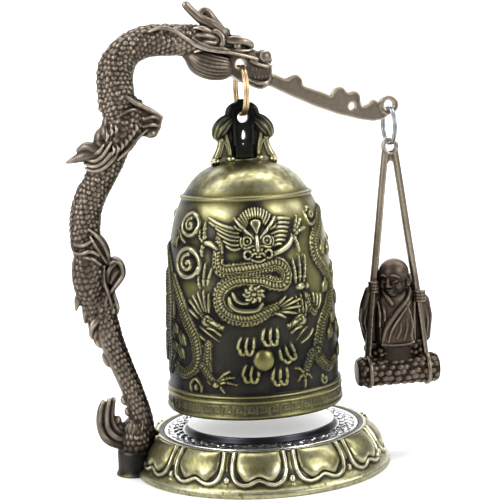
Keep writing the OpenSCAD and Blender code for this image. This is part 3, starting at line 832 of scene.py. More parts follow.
def bell_piece():
    scale = (bell_high[2] - bell_low[2]) / BELL_HEIGHT
    pz, pr = np.array(BELL_PROFILE).T
    # The outside: the profile, eased by a running mean but for its ends, with the relief standing on it.
    heights = np.concatenate([np.arange(0, 62, 0.3), np.arange(62, 68, 0.3), np.arange(68, 74.2, 0.45),
                              np.arange(74.2, 75.9, 0.25)])
    fine = np.linspace(0, 75.9, 1520)
    radius = np.interp(fine, pz, pr)
    for _ in range(2):
        radius[40:-4] = np.convolve(np.pad(radius, 30, mode="edge"), np.ones(61) / 61, "valid")[40:-4]
    r = np.interp(heights, fine, radius)
    slope = np.gradient(r, heights)[:, None]
    lean = np.sqrt(1 + slope ** 2)
    columns = 560
    turn = np.linspace(0, 2 * np.pi, columns, endpoint=False)
    z = (lip_z + heights * scale)[:, None]
    x_on = ((np.degrees(turn) % 180) * per_degree + panel_w / 2) % panel_w
    rise = relief.at(x_on, z)
    outer = turned(r[:, None] + rise / lean, z - rise * slope / lean, turn, bell_x)
    # The inside runs down from the dome, so that its rows are joined on at the lip.
    inner_heights = np.array([0.0, 0.35, 5, 15, 30, 45, 55, 61, 65, 69, 71.6, 73.0, 73.7])[::-1]
    inner_r = np.interp(inner_heights + 0.6, pz, pr) - BELL_WALL
    inner_r[0], inner_r[-2:] = 0.5, (24.0, 24.2)
    inside = turned(inner_r[:, None], (lip_z + inner_heights * scale)[:, None], turn, bell_x)
    faces = capped(len(inner_r) + len(z), columns)
    # How worn each place is: bright on the ridges, black beside them, olive in the open; painted shade darkens the
    # left side and the top of the dome.
    height = relief.h
    ridge = smoothstep((height - blur(height, int(0.7 / BELL_STEP))) / 0.34)
    mask = (height > 0.06).astype(float)
    close = smoothstep(blur(mask, int(1.45 / BELL_STEP)) * 1.8)
    up = (relief.low + np.arange(relief.ny) * BELL_STEP)[:, None]
    open_tone = 0.16 + 0.46 * smoothstep((up - 40) / 26) + 0.1 * smoothstep((up - 78) / 5)
    # Painted shade: the top of the dome is made darker.
    open_tone = open_tone - 0.08 * smoothstep((up - dome_z + 8) / 5)
    band = smoothstep((28 - up) / 1.0)
    # Painted shade darkens the left side.
    degrees = (np.arange(relief.nx) * BELL_STEP - panel_w / 2) / per_degree
    painted_left_shade = smoothstep((-54 - degrees) / 14)[None] * (1 - band)
    open_tone = (open_tone * (1 - band) + 0.34 * band) * (1 - 0.35 * painted_left_shade)
    ground = open_tone * (1 - 0.9 * close * (1 - band))
    top = 0.48 + 0.22 * smoothstep((up - 30) / 40)
    worn_and_lit = ground + (top - ground) * np.clip(ridge + 0.45 * smoothstep(height / 0.8) * mask, 0, 1)
    worn_and_lit = worn_and_lit + 0.12 * ridge - 0.08 * painted_left_shade + 0.16 * smoothstep((height - 1.0) / 0.6)
    # The ring below the dome stays olive; the dome is mottled.
    worn_and_lit = worn_and_lit * (1 - 0.3 * np.exp(-((up - dome_ring_z) / 0.9) ** 2))
    wear_and_light = relief.at(x_on, z, worn_and_lit).reshape(-1)
    wear_and_light = wear_and_light + 0.07 * smoothstep((outer[:, 2] - dome_z + 9.8) / 1.5) * mottle(outer, 5, 1.2, 4.5)
    make("bell_casting", np.concatenate([inside, outer]), faces, np.concatenate([np.full(len(inside), 0.22), wear_and_light]),
         "bell", "antique_brass", ["bell_shell"])


bell_piece()


# ---- the lotus base and its plate ----

PETALS = 12
PETAL_AT = -10           # degrees from the front to the middle of a petal
PETAL_R = 36.0           # the radius at which a petal's drawing is true to size
BOSS_X, BOSS_CLEAR = -39.0, 7.0
BASE_PROFILE = [(30.55, 11.2), (30.55, 11.9), (31.2, 12.0), (31.95, 12.05), (32.25, 12.4), (32.6, 12.5),
                (32.95, 12.35), (33.25, 11.6), (34.2, 10.3), (35.3, 8.8), (36.3, 6.9), (37.2, 4.9), (37.9, 3.4),
                (38.7, 2.5), (39.4, 2.05), (39.9, 1.6), (40.0, 1.1), (39.9, 0.0)]
BASE_UNDER = [(36.7, 0.0), (36.4, 2.4), (34.0, 7.6), (30.2, 9.2)]
# The socket boss: radius and height, with how worn each ring of it is.
BOSS = [(6.9, 0.0), (6.75, 0.5), (6.35, 1.2), (6.25, 3), (6.3, 6.6), (6.2, 7.5), (5.9, 7.75)]
BOSS_WEAR = [0.34, 0.24, 0.05, 0.03, 0.03, 0.12, 0.24]
DISC_R, PLATE_R, PLATE_Z, PLATE_FOOT = 22.9, 30.4, 11.9, 11.4


def petal_relief():
    """One petal of the base: across it in millimetres at PETAL_R, and down its slope."""
    unit = PETAL_R * 2 * math.pi / PETALS
    canvas = Relief(unit, 0, 17, 0.1)
    m = unit / 2
    # A domed cushion, the ridge round it and a thin line on each side.
    x, y = np.meshgrid(np.arange(canvas.nx) * canvas.step - m, np.arange(canvas.ny) * canvas.step)
    wide = np.interp(y, [3.2, 4.4, 7, 9.4, 12], [6.3, 6.7, 7.0, 6.7, 4.8])
    end = 13.0 - 1.5 * np.exp(-(x / 2.0) ** 2) - 0.0016 * x ** 4
    part = (y - 3.6) / (end - 3.6)
    across, down = np.clip(1 - np.abs(x / wide) ** 2.8, 0, 1), np.clip(1 - np.abs(2 * part - 1) ** 3.2, 0, 1)
    canvas.h = 1.45 * (across * down) ** 0.5 * (0.72 + 0.4 * np.clip(part, 0, 1))
    half = [(7.7, 3.2), (7.9, 5.2), (7.95, 7.6), (7.7, 10.2), (6.6, 12.4), (4.6, 13.5), (2.7, 13.3), (1.2, 12.5)]
    outline = [(m - x, y) for x, y in half] + [(m, 12.1)] + [(m + x, y) for x, y in half[::-1]]
    canvas.stroke(outline, 0.68, 0.95, ends=0.95, moat=0.25, samples=120)
    for side in (-1, 1):
        line = [(m + side * x, y) for x, y in ((9.2, 4.4), (9.25, 6.5), (9.3, 9.4))]
        canvas.stroke(line, 0.26, 0.4, ends=0.7, moat=0.12, samples=20)
    canvas.dome((2 * m, 12.1), 0.85, 1.0, 0.75, moat=0.2)
    canvas.dome((2 * m, 13.7), 0.5, 0.45, 0.35, moat=0.1)
    return canvas, unit


def lotus():
    canvas, unit = petal_relief()
    r, z = np.array(BASE_PROFILE).T
    along = lengths(np.column_stack([r, z]))
    rows = np.arange(0, along[-1], 0.16)
    # The profile with its corners eased, but for those at the plate and at the foot.
    r, z = np.interp(rows, along, r), np.interp(rows, along, z)
    for _ in range(2):
        for line in (r, z):
            line[8:-10] = np.convolve(np.pad(line, 3, mode="edge"), np.ones(7) / 7, "valid")[8:-10]
    down = rows[:, None]
    columns = 960
    turn = np.linspace(0, 360, columns, endpoint=False)
    across = ((turn - PETAL_AT) % (360 / PETALS)) / 360 * 2 * np.pi * PETAL_R
    across = (across + unit / 2) % unit
    # Petals narrow toward the middle, so the drawing is laid on at a constant angle.
    rise = canvas.at(across, down)
    rise = rise * smoothstep((down - 3.3) / 0.5) * smoothstep((rows[-1] - 2.2 - down) / 0.8)
    dr, dz = np.gradient(r, rows), np.gradient(z, rows)
    size = np.hypot(dr, dz)
    a = np.radians(turn)
    rr, zz = r[:, None] + rise * (-dz / size)[:, None], z[:, None] + rise * (dr / size)[:, None]
    # The seat for the dragon's foot is cut through the petals.
    away = np.hypot(rr * np.sin(a) - BOSS_X, rr * np.cos(a))
    outer = turned(rr, np.where(away < BOSS_CLEAR, np.minimum(zz, 7.4), zz), a)
    # A last row at the foot of the well joins on before the outside.
    well = turned(np.array([[BASE_PROFILE[0][0]]]), 11.0, a)
    ur, uz = np.array(BASE_UNDER).T
    under = turned(ur[:, None], uz[:, None], a)
    n = len(well) + len(outer)
    last = n - columns
    faces = grid_faces(1 + len(rows), columns)
    faces += [[n + k for k in face] for face in grid_faces(len(BASE_UNDER), columns)]
    faces += [[last + k, last + (k + 1) % columns, n + (k + 1) % columns, n + k] for k in range(columns)]
    # Floor of the well, and the hollow underside.
    end = n + (len(BASE_UNDER) - 1) * columns
    faces += [list(range(columns - 1, -1, -1)), list(range(end, end + columns))]
    # Wear: ridges and cushions bright, grooves black, the flange plain and the foot's surroundings dark.
    ridge = canvas.h - blur(canvas.h, 9)
    worn_and_lit = 0.615 + 0.28 * smoothstep((ridge + 0.02) / 0.35) - 0.42 * smoothstep((-ridge - 0.04) / 0.25)
    plain_part = 0.70
    edge = smoothstep((down - 14.3) / 1.0)
    top_part = 1 - smoothstep((down - 3.2) / 0.35)
    top_tone = 0.16 + 0.62 * smoothstep((down - 2.1) / 0.3)
    wear_and_light = canvas.at(across, down, worn_and_lit) * (1 - edge) * (1 - top_part) + plain_part * edge + top_tone * top_part
    wear_and_light = wear_and_light + 0.2 * np.exp(-((down - rows[-1] + 1.9) / 0.35) ** 2)
    wear_and_light = np.where(away < 8, wear_and_light * smoothstep((away - 6.4) / 1.6) ** 0.7, wear_and_light)
    worn_spots = mottle(outer, 9, 1.0, 4.5).reshape(wear_and_light.shape)
    wear_and_light = wear_and_light + 0.04 * worn_spots - 0.3 * smoothstep((worn_spots - 1.5) / 0.5) * edge
    make("lotus_casting", np.concatenate([well, outer, under]), faces,
         np.concatenate([np.full(columns, 0.1), wear_and_light.reshape(-1), np.full(len(under), 0.2)]),
         "post", "antique_brass", ["lotus_base"])


def foot_boss():
    """The socket under the dragon's foot, with a painted highlight on its front right."""
    turns = 96
    degrees = np.arange(turns) / turns * 360
    # Painted highlight: brighter round 318 degrees.
    wear_and_light = np.array(BOSS_WEAR)[:, None] + 0.24 * np.exp(-(degrees - 318) ** 2 / 400.0)
    make("foot_boss", revolve(BOSS, turns, BOSS_X), capped(len(BOSS), turns), wear_and_light.ravel(), "post", "antique_brass")


def mirror_plate():
    """The chromed plate: a crinkled border round a raised flat disc."""
    rows = np.concatenate([np.arange(0.3, 22.0, 4.3), np.arange(22.0, PLATE_R, 0.16)])
    columns = 900
    t = np.linspace(0, 2 * np.pi, columns, endpoint=False)
    r = rows[:, None]
    level = PLATE_Z + 1.9 * (1 - smoothstep((r - DISC_R) / 0.8)) + 0.32 * np.exp(-((r - 29.9) / 0.42) ** 2)
    band = smoothstep((r - 24.2) / 0.6) * smoothstep((29.6 - r) / 0.6)
    fold = np.abs(np.sin(20 * t + 0.9 * np.sin(1.5 * (r - 24))))
    crinkle = 0.5 * fold * np.sin(np.pi * np.clip((r - 24.2) / 5.4, 0, 1)) ** 0.8
    crinkle = crinkle + 0.16 * np.sin(40 * t + 2.3 * np.sin(3.1 * r) + 1.2 * r) * np.sin(2.1 * r)
    z = level + band * crinkle
    verts = np.concatenate([turned(r, z, t), turned(PLATE_R, PLATE_FOOT, t)])
    hollow = smoothstep((0.32 - (z - PLATE_Z)) / 0.3) * band
    speck = smoothstep((np.sin(23 * t + 3 * np.sin(7 * t)) * np.sin(2.6 * r + 5 * np.sin(11 * t)) - 0.35) / 0.4)
    # A dark ring of painted shade on the raised disc's side wall keeps the pale disc apart from its border.
    wear_and_light = (np.where(r < DISC_R, 1.0, 0.86) - 0.95 * np.exp(-((r - 23.5) / 0.62) ** 4)
            - 0.7 * hollow - 0.6 * speck * band)
    make("mirror_plate", verts, [face[::-1] for face in capped(len(rows) + 1, columns)],
         np.concatenate([wear_and_light.ravel(), np.full(columns, 0.1)]), "post", "mirror_plate", ["top_plate"])


lotus()
foot_boss()
mirror_plate()


# ---- the dragon ----

# The middle of the body from foot to neck, as (x, z, radius).
SPINE = [(-38.8, 6.4, 6.2), (-37.8, 12.5, 5), (-37.6, 18.5, 4), (-39.4, 25.5, 3.8), (-42, 33, 3.9),
         (-44.6, 40.5, 4.1), (-46.6, 48.5, 4.4), (-48.4, 57, 4.8), (-49.8, 66, 5.1), (-50.9, 75, 4.9),
         (-49.8, 84, 4.9), (-46, 91.5, 4.9), (-41.8, 99, 5), (-39, 107.5, 5.3), (-38.9, 116, 5.5),
         (-38.9, 123.5, 5.5), (-36, 129.3, 5.3), (-30.2, 132.2, 5.1), (-23.5, 132.4, 5), (-17, 132.2, 4.9)]


def scales(length=1.45, around=18, height=0.56, plain_until=0.0):
    """Rows of raised oval scales round a tube; its left edge stays plain over the first part."""
    def skin(along, angle, radius):
        row = along / length + 0.3 * np.sin(angle * 2 + 1) + 0.12 * np.sin(angle * 5 + along * 0.8)
        across = angle * around / (2 * np.pi) + 0.42 * np.floor(row) + 0.25 * np.sin(0.37 * along)
        i, j = np.floor(row), np.mod(np.floor(across), around)
        first = np.sin(i * 12.9898 + j * 78.233) * 43758.5453
        second = np.sin(i * 39.3467 + j * 11.135) * 24634.6345
        first, second = first - np.floor(first), second - np.floor(second)
        cell = np.hypot(row % 1 - 0.5 + 0.2 * (first - 0.5), across % 1 - 0.5 + 0.2 * (second - 0.5))
        bump = height * (0.55 + 0.6 * second) * arc(cell / (0.46 + 0.1 * first)) - 0.3 * height
        edge = smoothstep((np.cos(angle - np.pi) - 0.55) / 0.25) * smoothstep((plain_until - along) / 4)
        inner = 0.45 * smoothstep((np.cos(angle) - 0.75) / 0.2)
        return bump * (1 - np.maximum(edge, inner))
    return skin


def xz(points, y=0.0):
    """Points in the X-Z plane set back by y, which may be one number or one for each."""
    points = np.asarray(points, float)
    return np.column_stack([points[:, 0], np.broadcast_to(y, len(points)), points[:, 1]])


def hoop(x, z, radius, y, degrees):
    """A raised rim round an eye in the X-Z plane, over the angles given."""
    turn = np.radians(degrees)
    return tube(xz(np.column_stack([x + radius * np.cos(turn), z + radius * np.sin(turn)]), y), 0.45, steps=2,
                sides=12)


def dragon_body():
    spine = np.array(SPINE)
    path = xz(spine[:, :2])
    tail, upper = scales(1.8, 18, 0.5, 48), scales()
    parts = [tube(path, spine[:, 2] - 0.45, sides=144, depth=0.86, steps=44,
                  skin=lambda along, angle, r: np.where(along < 46, tail(along, angle, r), upper(along, angle, r)))]
    # Rounded spines behind the back.
    for x, z, r in ((-49.2, 42.4, 2.6), (-46.8, 36.2, 2.6), (-42.1, 23.1, 1.7), (-41.1, 19.4, 1.6)):
        parts.append(blob((x, 0.3, z), (1.4, 1.3, r), turn=-0.35))
    # A serrated crest along the outside of the neck.
    crest = curve(np.array([(-43.7, 113), (-43.9, 118), (-43.8, 123), (-42.3, 128), (-38.2, 132.4), (-32.8, 135.6),
                            (-27, 136.7), (-20, 136.4)]), 27)
    parts += [blob((x, 0, z), (1.45, 1.6, 1.1)) for x, z in crest[::2]]
    parts += [blob((x, 0, z), (1.2, 1.5, 0.9)) for x, z in crest[1::2]]
    back = curve(np.array([(-55.0, 72), (-55.1, 78), (-54.2, 84), (-51.9, 89.5)]), 12)
    parts += [blob((x, 0, z), (0.9, 1.5, 1.0)) for x, z in back]
    # Tail: three ribs that curl up from the foot.
    parts += [tube(xz([(-38.5, 9.4), (-44, 9.6), (-48.4, 11.6), (-50.1, 15.6), (-49.9, 20), (-48.9, 23.2)], -0.6),
                   [2.0, 1.7, 1.4, 1.2, 1.1, 0.8], depth=1.5),
              tube(xz([(-40, 11.2), (-45, 12), (-47.6, 15), (-47.9, 19.4), (-46.9, 23.9)], -1.5),
                   [1.6, 1.3, 1.1, 1.0, 0.8], depth=1.3),
              tube(xz([(-41, 12.6), (-44.6, 13.8), (-46.2, 17), (-46.2, 20.6), (-45.6, 23.8)], -0.4),
                   [1.4, 1.1, 0.9, 0.9, 0.8], depth=1.5),
              blob((-44.7, 0, 17), (1.3, 1.3, 1.6)), blob((-43.6, 0, 14.6), (1.8, 1.8, 1.7))]
    # Foot and its wedge toward the plate.
    parts += [tube(xz([(-39, 10), (-35.6, 11.4), (-32.2, 10.6)]), [4.2, 3.0, 1.5], depth=0.8),
              tube([(-39, 0, 13.6), (-39, 0, 10.4), (-39, 0, 8.3)], [4.6, 5.6, 5.9], sides=96, steps=24,
                   skin=scales(1.7, 20, 0.5))]
    # Hind leg, in front of the body and mirrored behind it: thigh, folds, strands, knee curl and claws.
    pimple = scales(1.7, 16, 0.5)
    legs = [tube(xz([(-49.8, 71.5), (-51, 66), (-51.2, 60), (-50.8, 54.5), (-51, 49)],
                    [-2.2, -2.6, -2.6, -2.2, -1.8]),
                 [3.4, 4.6, 4.5, 3.1, 1.4], sides=84, depth=0.72, steps=26, skin=pimple)]
    # Folds above the thigh, the flap along the right edge and the strands below it.
    legs += [blob((-46.6, -1.4, 71.6), (2.2, 1.9, 4.6), turn=-0.45),
             blob((-47.9, -2.6, 71.6), (1.3, 1.5, 4.4), turn=-0.35),
             blob((-45.4, -1.3, 67.4), (1.7, 1.8, 2.6))]
    for line, y in (([(-55.2, 70.4), (-53.1, 69.8), (-50.1, 70.6), (-47.6, 69.2)], (-2.4, -4.2, -5.3, -4.7)),
                    ([(-54.6, 67.4), (-50.6, 68.7), (-47.2, 66.4)], (-3.0, -5.4, -4.8)),
                    ([(-54.6, 72.6), (-52, 72.4), (-49.8, 73.6)], (-2.4, -4.3, -4.7)),
                    ([(-50.0, 77.2), (-48.3, 75.4), (-46.3, 72.6), (-45.0, 69.4), (-44.6, 66.0)],
                     (-4.1, -3.8, -3.2, -2.7, -2.6)),
                    ([(-49.8, 75), (-48.4, 71.9), (-46.8, 69.1), (-45.4, 66.8)], (-4.4, -4.4, -3.9, -3.0)),
                    ([(-46.1, 65.7), (-46.5, 61.3), (-45.6, 58), (-45.0, 55.4), (-44.3, 52)],
                     (-3.4, -3.8, -3.4, -2.9, -2.4)),
                    ([(-44.0, 60), (-43.6, 56.6), (-42.7, 53), (-42.9, 50.8)], (-2.2, -2.2, -2.2, -2.0)),
                    ([(-45.4, 57.2), (-46.4, 54.6), (-46.4, 51.6)], (-3.3, -3.2, -2.8)),
                    ([(-48.0, 55.6), (-48.4, 53.0), (-47.8, 50.6)], (-3.3, -3.2, -2.8))):
        legs.append(tube(xz(line, y), [0.35] + [0.64] * (len(line) - 2) + [0.45]))
    legs += [blob(place, (0.95, 0.9, 1.15)) for place in ((-44.2, -2.4, 51.6), (-46.3, -2.8, 51),
                                                          (-47.9, -2.8, 50.4))]
    curl = [(-45.2, 56.8), (-43.1, 59.3), (-41.1, 61.8), (-40.6, 63.6), (-41.1, 65.9), (-42.6, 67.0), (-44.2, 66.4)]
    legs += [tube(xz(curl, -1.9), [0.8, 1.0, 1.05, 1.1, 1.1, 1.0, 0.8], depth=1.9),
             tube(xz([(-45.5, 60.6), (-45.3, 62.8), (-44.3, 64.8), (-42.6, 66.2)], -2.7), [0.6, 0.8, 0.8, 0.6]),
             tube(xz([(-44.4, 60.4), (-43.0, 63.0), (-41.3, 64)], -2.3), [0.6, 0.75, 0.6]),
             blob((-43.2, -0.8, 63), (2.4, 2.1, 4.2), turn=0.15)]
    # Shoulder and upper arm, which swell to the right toward the paw.
    legs.append(tube(xz([(-41.6, 99.5), (-39, 104), (-36.4, 108.4), (-34, 112)], [-1.2, -1.6, -1.4, -0.8]),
                     [3.6, 5.0, 5.0, 3.0], depth=0.8, sides=84, steps=26, skin=pimple))
    for root, tip in (((-51.5, 57.4), (-55.4, 52.4)), ((-50, 54), (-52.9, 48.4)), ((-48.6, 49.6), (-51.2, 43.6))):
        mid = ((root[0] + tip[0]) / 2 - 0.9, (root[1] + tip[1]) / 2 + 0.7)
        legs.append(tube(xz([root, mid, tip], [-2.0, -2.6, -1.6]), [1.5, 1.15, 0.35]))
    legs.append(blob((-50.4, -0.8, 45), (1.6, 1.4, 2.2)))
    # Elbow: a pointed fin with a knob above it, folds sweeping up from it, a fringe, and the forearm's ridge.
    legs += [tube(xz([(-44, 99.6), (-49.6, 99.2), (-53, 98.2), (-55.7, 97.3)], [-2.2, -2.4, -1.6, -0.8]),
                  [2.6, 1.7, 1.1, 0.35]),
             tube(xz([(-51.2, 100.8), (-49, 101.9), (-46.6, 100.9), (-44.6, 99.8)], [-1.6, -2.4, -3.2, -3.6]),
                  [1.2, 1.5, 1.5, 1.2]),
             blob((-44.9, -1.7, 104.3), (2.0, 2.1, 3.2), turn=0.3), blob((-47.2, -1.8, 97.4), (2.6, 1.9, 2.6)),
             blob((-44.6, -1.4, 101.6), (3.0, 3.0, 3.2)), blob((-43.4, -1.6, 105.4), (1.8, 2.6, 3.2)),
             blob((-42.8, -1.4, 108.2), (1.5, 2.0, 3.2), turn=0.15)]
    for line, y in (([(-50, 95.4), (-47.4, 94.5), (-44.2, 95.5), (-41.6, 97.9), (-39.6, 100.2)],
                     (-1.6, -3.0, -4.2, -4.6, -4.7)),
                    ([(-50.2, 96.8), (-47.6, 96.0), (-44.9, 96.9), (-42.4, 99.3), (-40.6, 101.6)],
                     (-2.2, -3.6, -4.4, -4.8, -4.9)),
                    ([(-49.4, 98.1), (-47.2, 97.7), (-45.1, 98.7), (-43.3, 100.8), (-41.9, 103)],
                     (-3.2, -4.1, -4.6, -4.9, -5.0)),
                    ([(-47.5, 99.6), (-45.6, 100.4), (-44.2, 102.4)], (-3.9, -4.6, -4.9)),
                    ([(-40.2, 97.6), (-37.2, 100.4), (-33.6, 104), (-30, 106.7)], (-4.4, -4.3, -3.6, -2.9)),
                    ([(-39, 110.4), (-37.2, 111.8), (-34.8, 112.4), (-33, 111.8)], (-4.3, -4.2, -3.7, -3.0))):
        legs.append(tube(xz(line, y), [0.35] + [0.62] * (len(line) - 2) + [0.3]))
    for x, z in (((-41.3, 100.4), (-40, 100.6), (-38.7, 101.4), (-37.4, 102.6), (-36.2, 103.9), (-35.1, 105.2),
                                (-34.1, 106.6), (-43.0, 104.6), (-41.6, 105.8), (-40.2, 106.4))):
        legs.append(tube(xz([(x - 0.1, z + 1.4), (x + 0.1, z + 0.2), (x - 0.5, z - 1.2)], (-5.4, -5.7, -5.2)),
                         [0.3, 0.5, 0.25], sides=12, steps=4))
    # The fist at the end of the raised arm.
    legs += [slab([(-36, 104), (-31.6, 104.1), (-30.2, 103.4), (-27.9, 104.2), (-26.6, 106.4), (-25.7, 109.7),
                   (-28.6, 111.7), (-32, 113.6), (-35.5, 113.6)], 3.6, -1.0),
             blob((-31.2, -1.4, 108.6), (3.4, 2.4, 4.2), turn=0.5),
             tube(xz([(-36.6, 116.4), (-34.4, 114.6), (-31.8, 113.2), (-28.6, 111.3), (-26.2, 109.6)],
                     [-3.6, -3.4, -3.1, -2.7, -2.2]), [0.7, 0.9, 0.85, 0.8, 0.6]),
             tube(xz([(-31.6, 109.6), (-29.2, 109.9), (-26.8, 109.2)], [-3.6, -3.2, -2.4]), [0.5, 0.7, 0.5]),
             tube(xz([(-31.9, 107.3), (-29.3, 107.6), (-27.2, 106.9)], [-3.6, -3.3, -2.5]), [0.6, 0.8, 0.6]),
             blob((-29.6, -1.9, 104.9), (1.9, 1.6, 1.4), turn=0.2)]
    for x, z in ((-37.8, 121), (-36.4, 119.2), (-35.4, 117.2), (-34.2, 115.4), (-32.6, 114.3)):
        legs.append(blob((x, -1.6, z), (1.0, 1.4, 1.2), turn=0.6))
    parts += both_sides(legs)
    # The whisker that leaves the neck runs on along the head.
    side_y = [-3.0, -4.2, -4.5, -4.5, -4.4, -4.2]
    whisker = tube(xz([(-29.6, 134.9), (-25.2, 136.2), (-21.4, 135.2), (-18.2, 133), (-16.6, 131.8), (-15.4, 130.8)],
                      side_y),
                   [0.35, 0.6, 0.65, 0.65, 0.6, 0.5])
    parts += both_sides([whisker])

    # Painted light and shade low on the body: a painted highlight along the left edge and painted shade on the right
    # side; the body is also darker towards the foot.
    def tone_and_light(v):
        x, _, z = v.T
        centre = np.interp(z, spine[:9, 1], spine[:9, 0])
        low = z < 50
        right = smoothstep((x - centre - 1.2) / 2.5) * low
        left = smoothstep((centre - 2.2 - x) / 1.2) * low * (z > 17) * (x > centre - 5)
        foot = smoothstep((13 - z) / 5)
        return 0.14 * left - 0.22 * right - 0.3 * foot
    cast("dragon_body_casting", parts, 0.26, "post", "dark_bronze", ["dragon_body"], smooth=1, gain=0.58, tone_and_light=tone_and_light)


def dragon_head():
    neck = scales(1.5, 16, 0.45)
    parts = [tube(xz([(-19.4, 132.4), (-15, 132.2), (-10.6, 131.6), (-6, 130)]), [4.8, 4.7, 4.4, 3.4], sides=120,
                  depth=0.86, steps=30, skin=neck),
             tube(xz([(-9, 130.6), (-4, 129.4), (0.5, 127.2), (4.5, 125.8), (7, 125.4)]), [3.6, 3.3, 2.6, 2.1, 1.7],
                  depth=0.92, sides=48)]
    # Lower jaw behind the ring's hole and in front of it, kept thin where the ring passes.
    parts += [slab([(-6, 127), (-5, 121.5), (-2.4, 119.3), (0.6, 118.3), (3, 117.6), (7.4, 119), (8.2, 121),
                    (8.2, 124), (2, 127.5)], 4.7),
              tube(xz([(2.4, 118.4), (5, 118), (7.3, 119.4)]), [1.1, 1.5, 1.3], depth=1.9)]

    def pleats(along, angle, radius):
        return 0.4 * (np.abs(np.sin(angle * 12)) - 0.62) * np.sin(np.pi * np.clip(along / 16, 0.06, 0.94))
    parts.append(tube(xz([(-16.6, 128.2), (-13.8, 126.1), (-9.8, 124.6), (-5.6, 123.9), (-3.4, 123.6)]),
                      [2.4, 4.2, 4.6, 3.9, 2.2], sides=160, depth=0.95, steps=30, skin=pleats))
    detail = []
    # Cheek spikes of the mane, ear and brow.
    for a, b in (((-9, 129.4), (-15.4, 128.6)), ((-9, 131), (-16, 131)), ((-9.4, 132.8), (-15.8, 133.4)),
                 ((-10, 134.2), (-15.2, 135.8))):
        middle = ((a[0] + b[0]) / 2, (a[1] + b[1]) / 2 + 0.5)
        detail.append(tube(xz([a, middle, b], [-3.3, -3.9, -3.4]), [0.75, 0.8, 0.3]))
    detail += [tube(xz([(-10.8, 133.9), (-8.6, 134.4), (-6.9, 132.8), (-6.9, 130.6), (-8.4, 129.6)],
                       [-3, -3.6, -3.9, -3.9, -3.6]),
                    [0.55, 0.75, 0.8, 0.75, 0.5]),
               blob((-8.6, -3.3, 132), (1.2, 0.6, 1.3)),
               tube(xz([(-6.4, 131.8), (-4, 132.2), (-1.2, 131.8), (1, 130.9), (1.6, 129.8)],
                       [-2.6, -3.0, -3.1, -2.6, -2]),
                    [0.5, 0.7, 0.75, 0.7, 0.5]),
               tube(xz([(-7.6, 133.4), (-5.6, 131.9), (-3, 131.3), (-0.2, 131.2), (1.9, 130.2), (2.2, 129)],
                       [-1.6, -2.4, -2.9, -2.8, -2.0, -1.4]), [0.9, 1.1, 1.2, 1.2, 1.1, 0.7]),
               tube(xz([(-5.6, 129.3), (-3, 128.6), (0.2, 128.4), (2.4, 128.6)], [-3.3, -3.5, -3.0, -2.2]),
                    [0.45, 0.55, 0.5, 0.35]),
               blob((-2.3, -3.2, 129.8), (1.2, 0.85, 0.95)),
               # Nose bulb, nostril rim and the two lips.
               blob((5.9, -1.1, 126.3), (2.45, 1.9, 2.35)),
               tube(xz([(7.5, 127.2), (6.5, 127.9), (5.2, 127.4), (4.9, 126.1), (5.7, 125.2)],
                       [-2.0, -2.4, -2.6, -2.6, -2.5]),
                    [0.35, 0.5, 0.5, 0.5, 0.35], steps=6),
               tube(xz([(1.8, 125.3), (4, 124.1), (6.6, 123.4), (8.2, 123.6)], [-2.6, -2.7, -2.2, -1.2]),
                    [0.55, 0.65, 0.65, 0.5]),
               tube(xz([(1.2, 119.6), (3.6, 118.6), (6.2, 118.6), (8, 120)], [-2.4, -2.8, -2.6, -1.2]),
                    [0.55, 0.7, 0.7, 0.5]),
               # Whisker along the cheek, with the strand that joins it.
               tube(xz([(-18.2, 133), (-16.6, 131.9), (-14.9, 130.6), (-12, 129.3), (-8.7, 128.5), (-5, 128),
                        (-1.8, 127.3), (1, 126.5), (3.6, 125.6)], [-4.4, -4.5, -4.7, -4.7, -4.5, -4.2, -3.8, -3.2,
                                                                   -2.6]), 0.62, steps=8),
               tube(xz([(-15.6, 132.6), (-13.6, 131.1), (-10.6, 129.9), (-7, 129.3), (-3.6, 128.2)],
                       [-4.2, -4.5, -4.4, -4.2, -3.8]), 0.5)]
    # Upper and lower teeth.
    for k in range(6):
        x = 2.1 + 1.15 * k
        for tooth in ([(x, 123 - 0.13 * k), (x + 0.1, 122.1)], [(x + 0.5, 120 + 0.1 * k), (x + 0.5, 120.8)]):
            detail.append(tube(xz(tooth, -2.1), [0.42, 0.3], steps=4))
    parts += both_sides(detail)
    # Brow knob, the thick horn and the hooked one.
    parts += [blob((-5.4, 0, 134.1), (1.7, 2.4, 1.7)),
              blob((-2.6, 0, 132.4), (2.2, 2.4, 1.1)),
              tube(xz([(-6.6, 133.8), (-9.6, 136.4), (-12.8, 138.4), (-15.4, 140.8), (-17.1, 142.8)], -1.5),
                   [2.1, 1.9, 1.5, 1.35, 1.3]),
              tube(xz([(-6.4, 134.4), (-8.6, 137.8), (-10.2, 140.4), (-11.6, 141), (-12.7, 139.8)], 1.2),
                   [1.8, 1.5, 1.3, 1.2, 1.1])]
    x, _, z = jaw_hole
    cast("dragon_head_casting", parts, 0.2, "post", "dark_bronze", ["dragon_head"],
         cuts=[hole(x, z - 0.2, 1.5)],
         reach=10, gain=0.54, base=0.545,
         tone_and_light=lambda v: -0.06 * smoothstep((-3 - v[:, 0]) / 2) * smoothstep((128.4 - v[:, 2]) / 1.5))


# The beam's outline in the X-Z plane, from its tip along its underside and back over its notches.
BEAM = [(44.8, 107.2), (42.6, 105.5), (39.4, 105.0), (35.4, 105.7), (28.4, 107.7), (21, 110.6), (13.7, 114.1),
        (8.2, 117), (8.2, 121.4), (12.6, 119.5), (14, 120.2), (15.8, 120.6), (17.2, 119.4), (17.9, 117.2),
        (24.1, 114.8), (26.2, 113.8), (27.2, 115), (28.5, 116.2), (30.2, 116), (31.2, 114.7), (32.4, 114.4),
        (33.8, 114.8), (35, 113.8), (35.3, 111), (36.4, 110), (38.4, 110.8), (39.8, 111.8), (41.4, 110.9),
        (43, 110.6)]


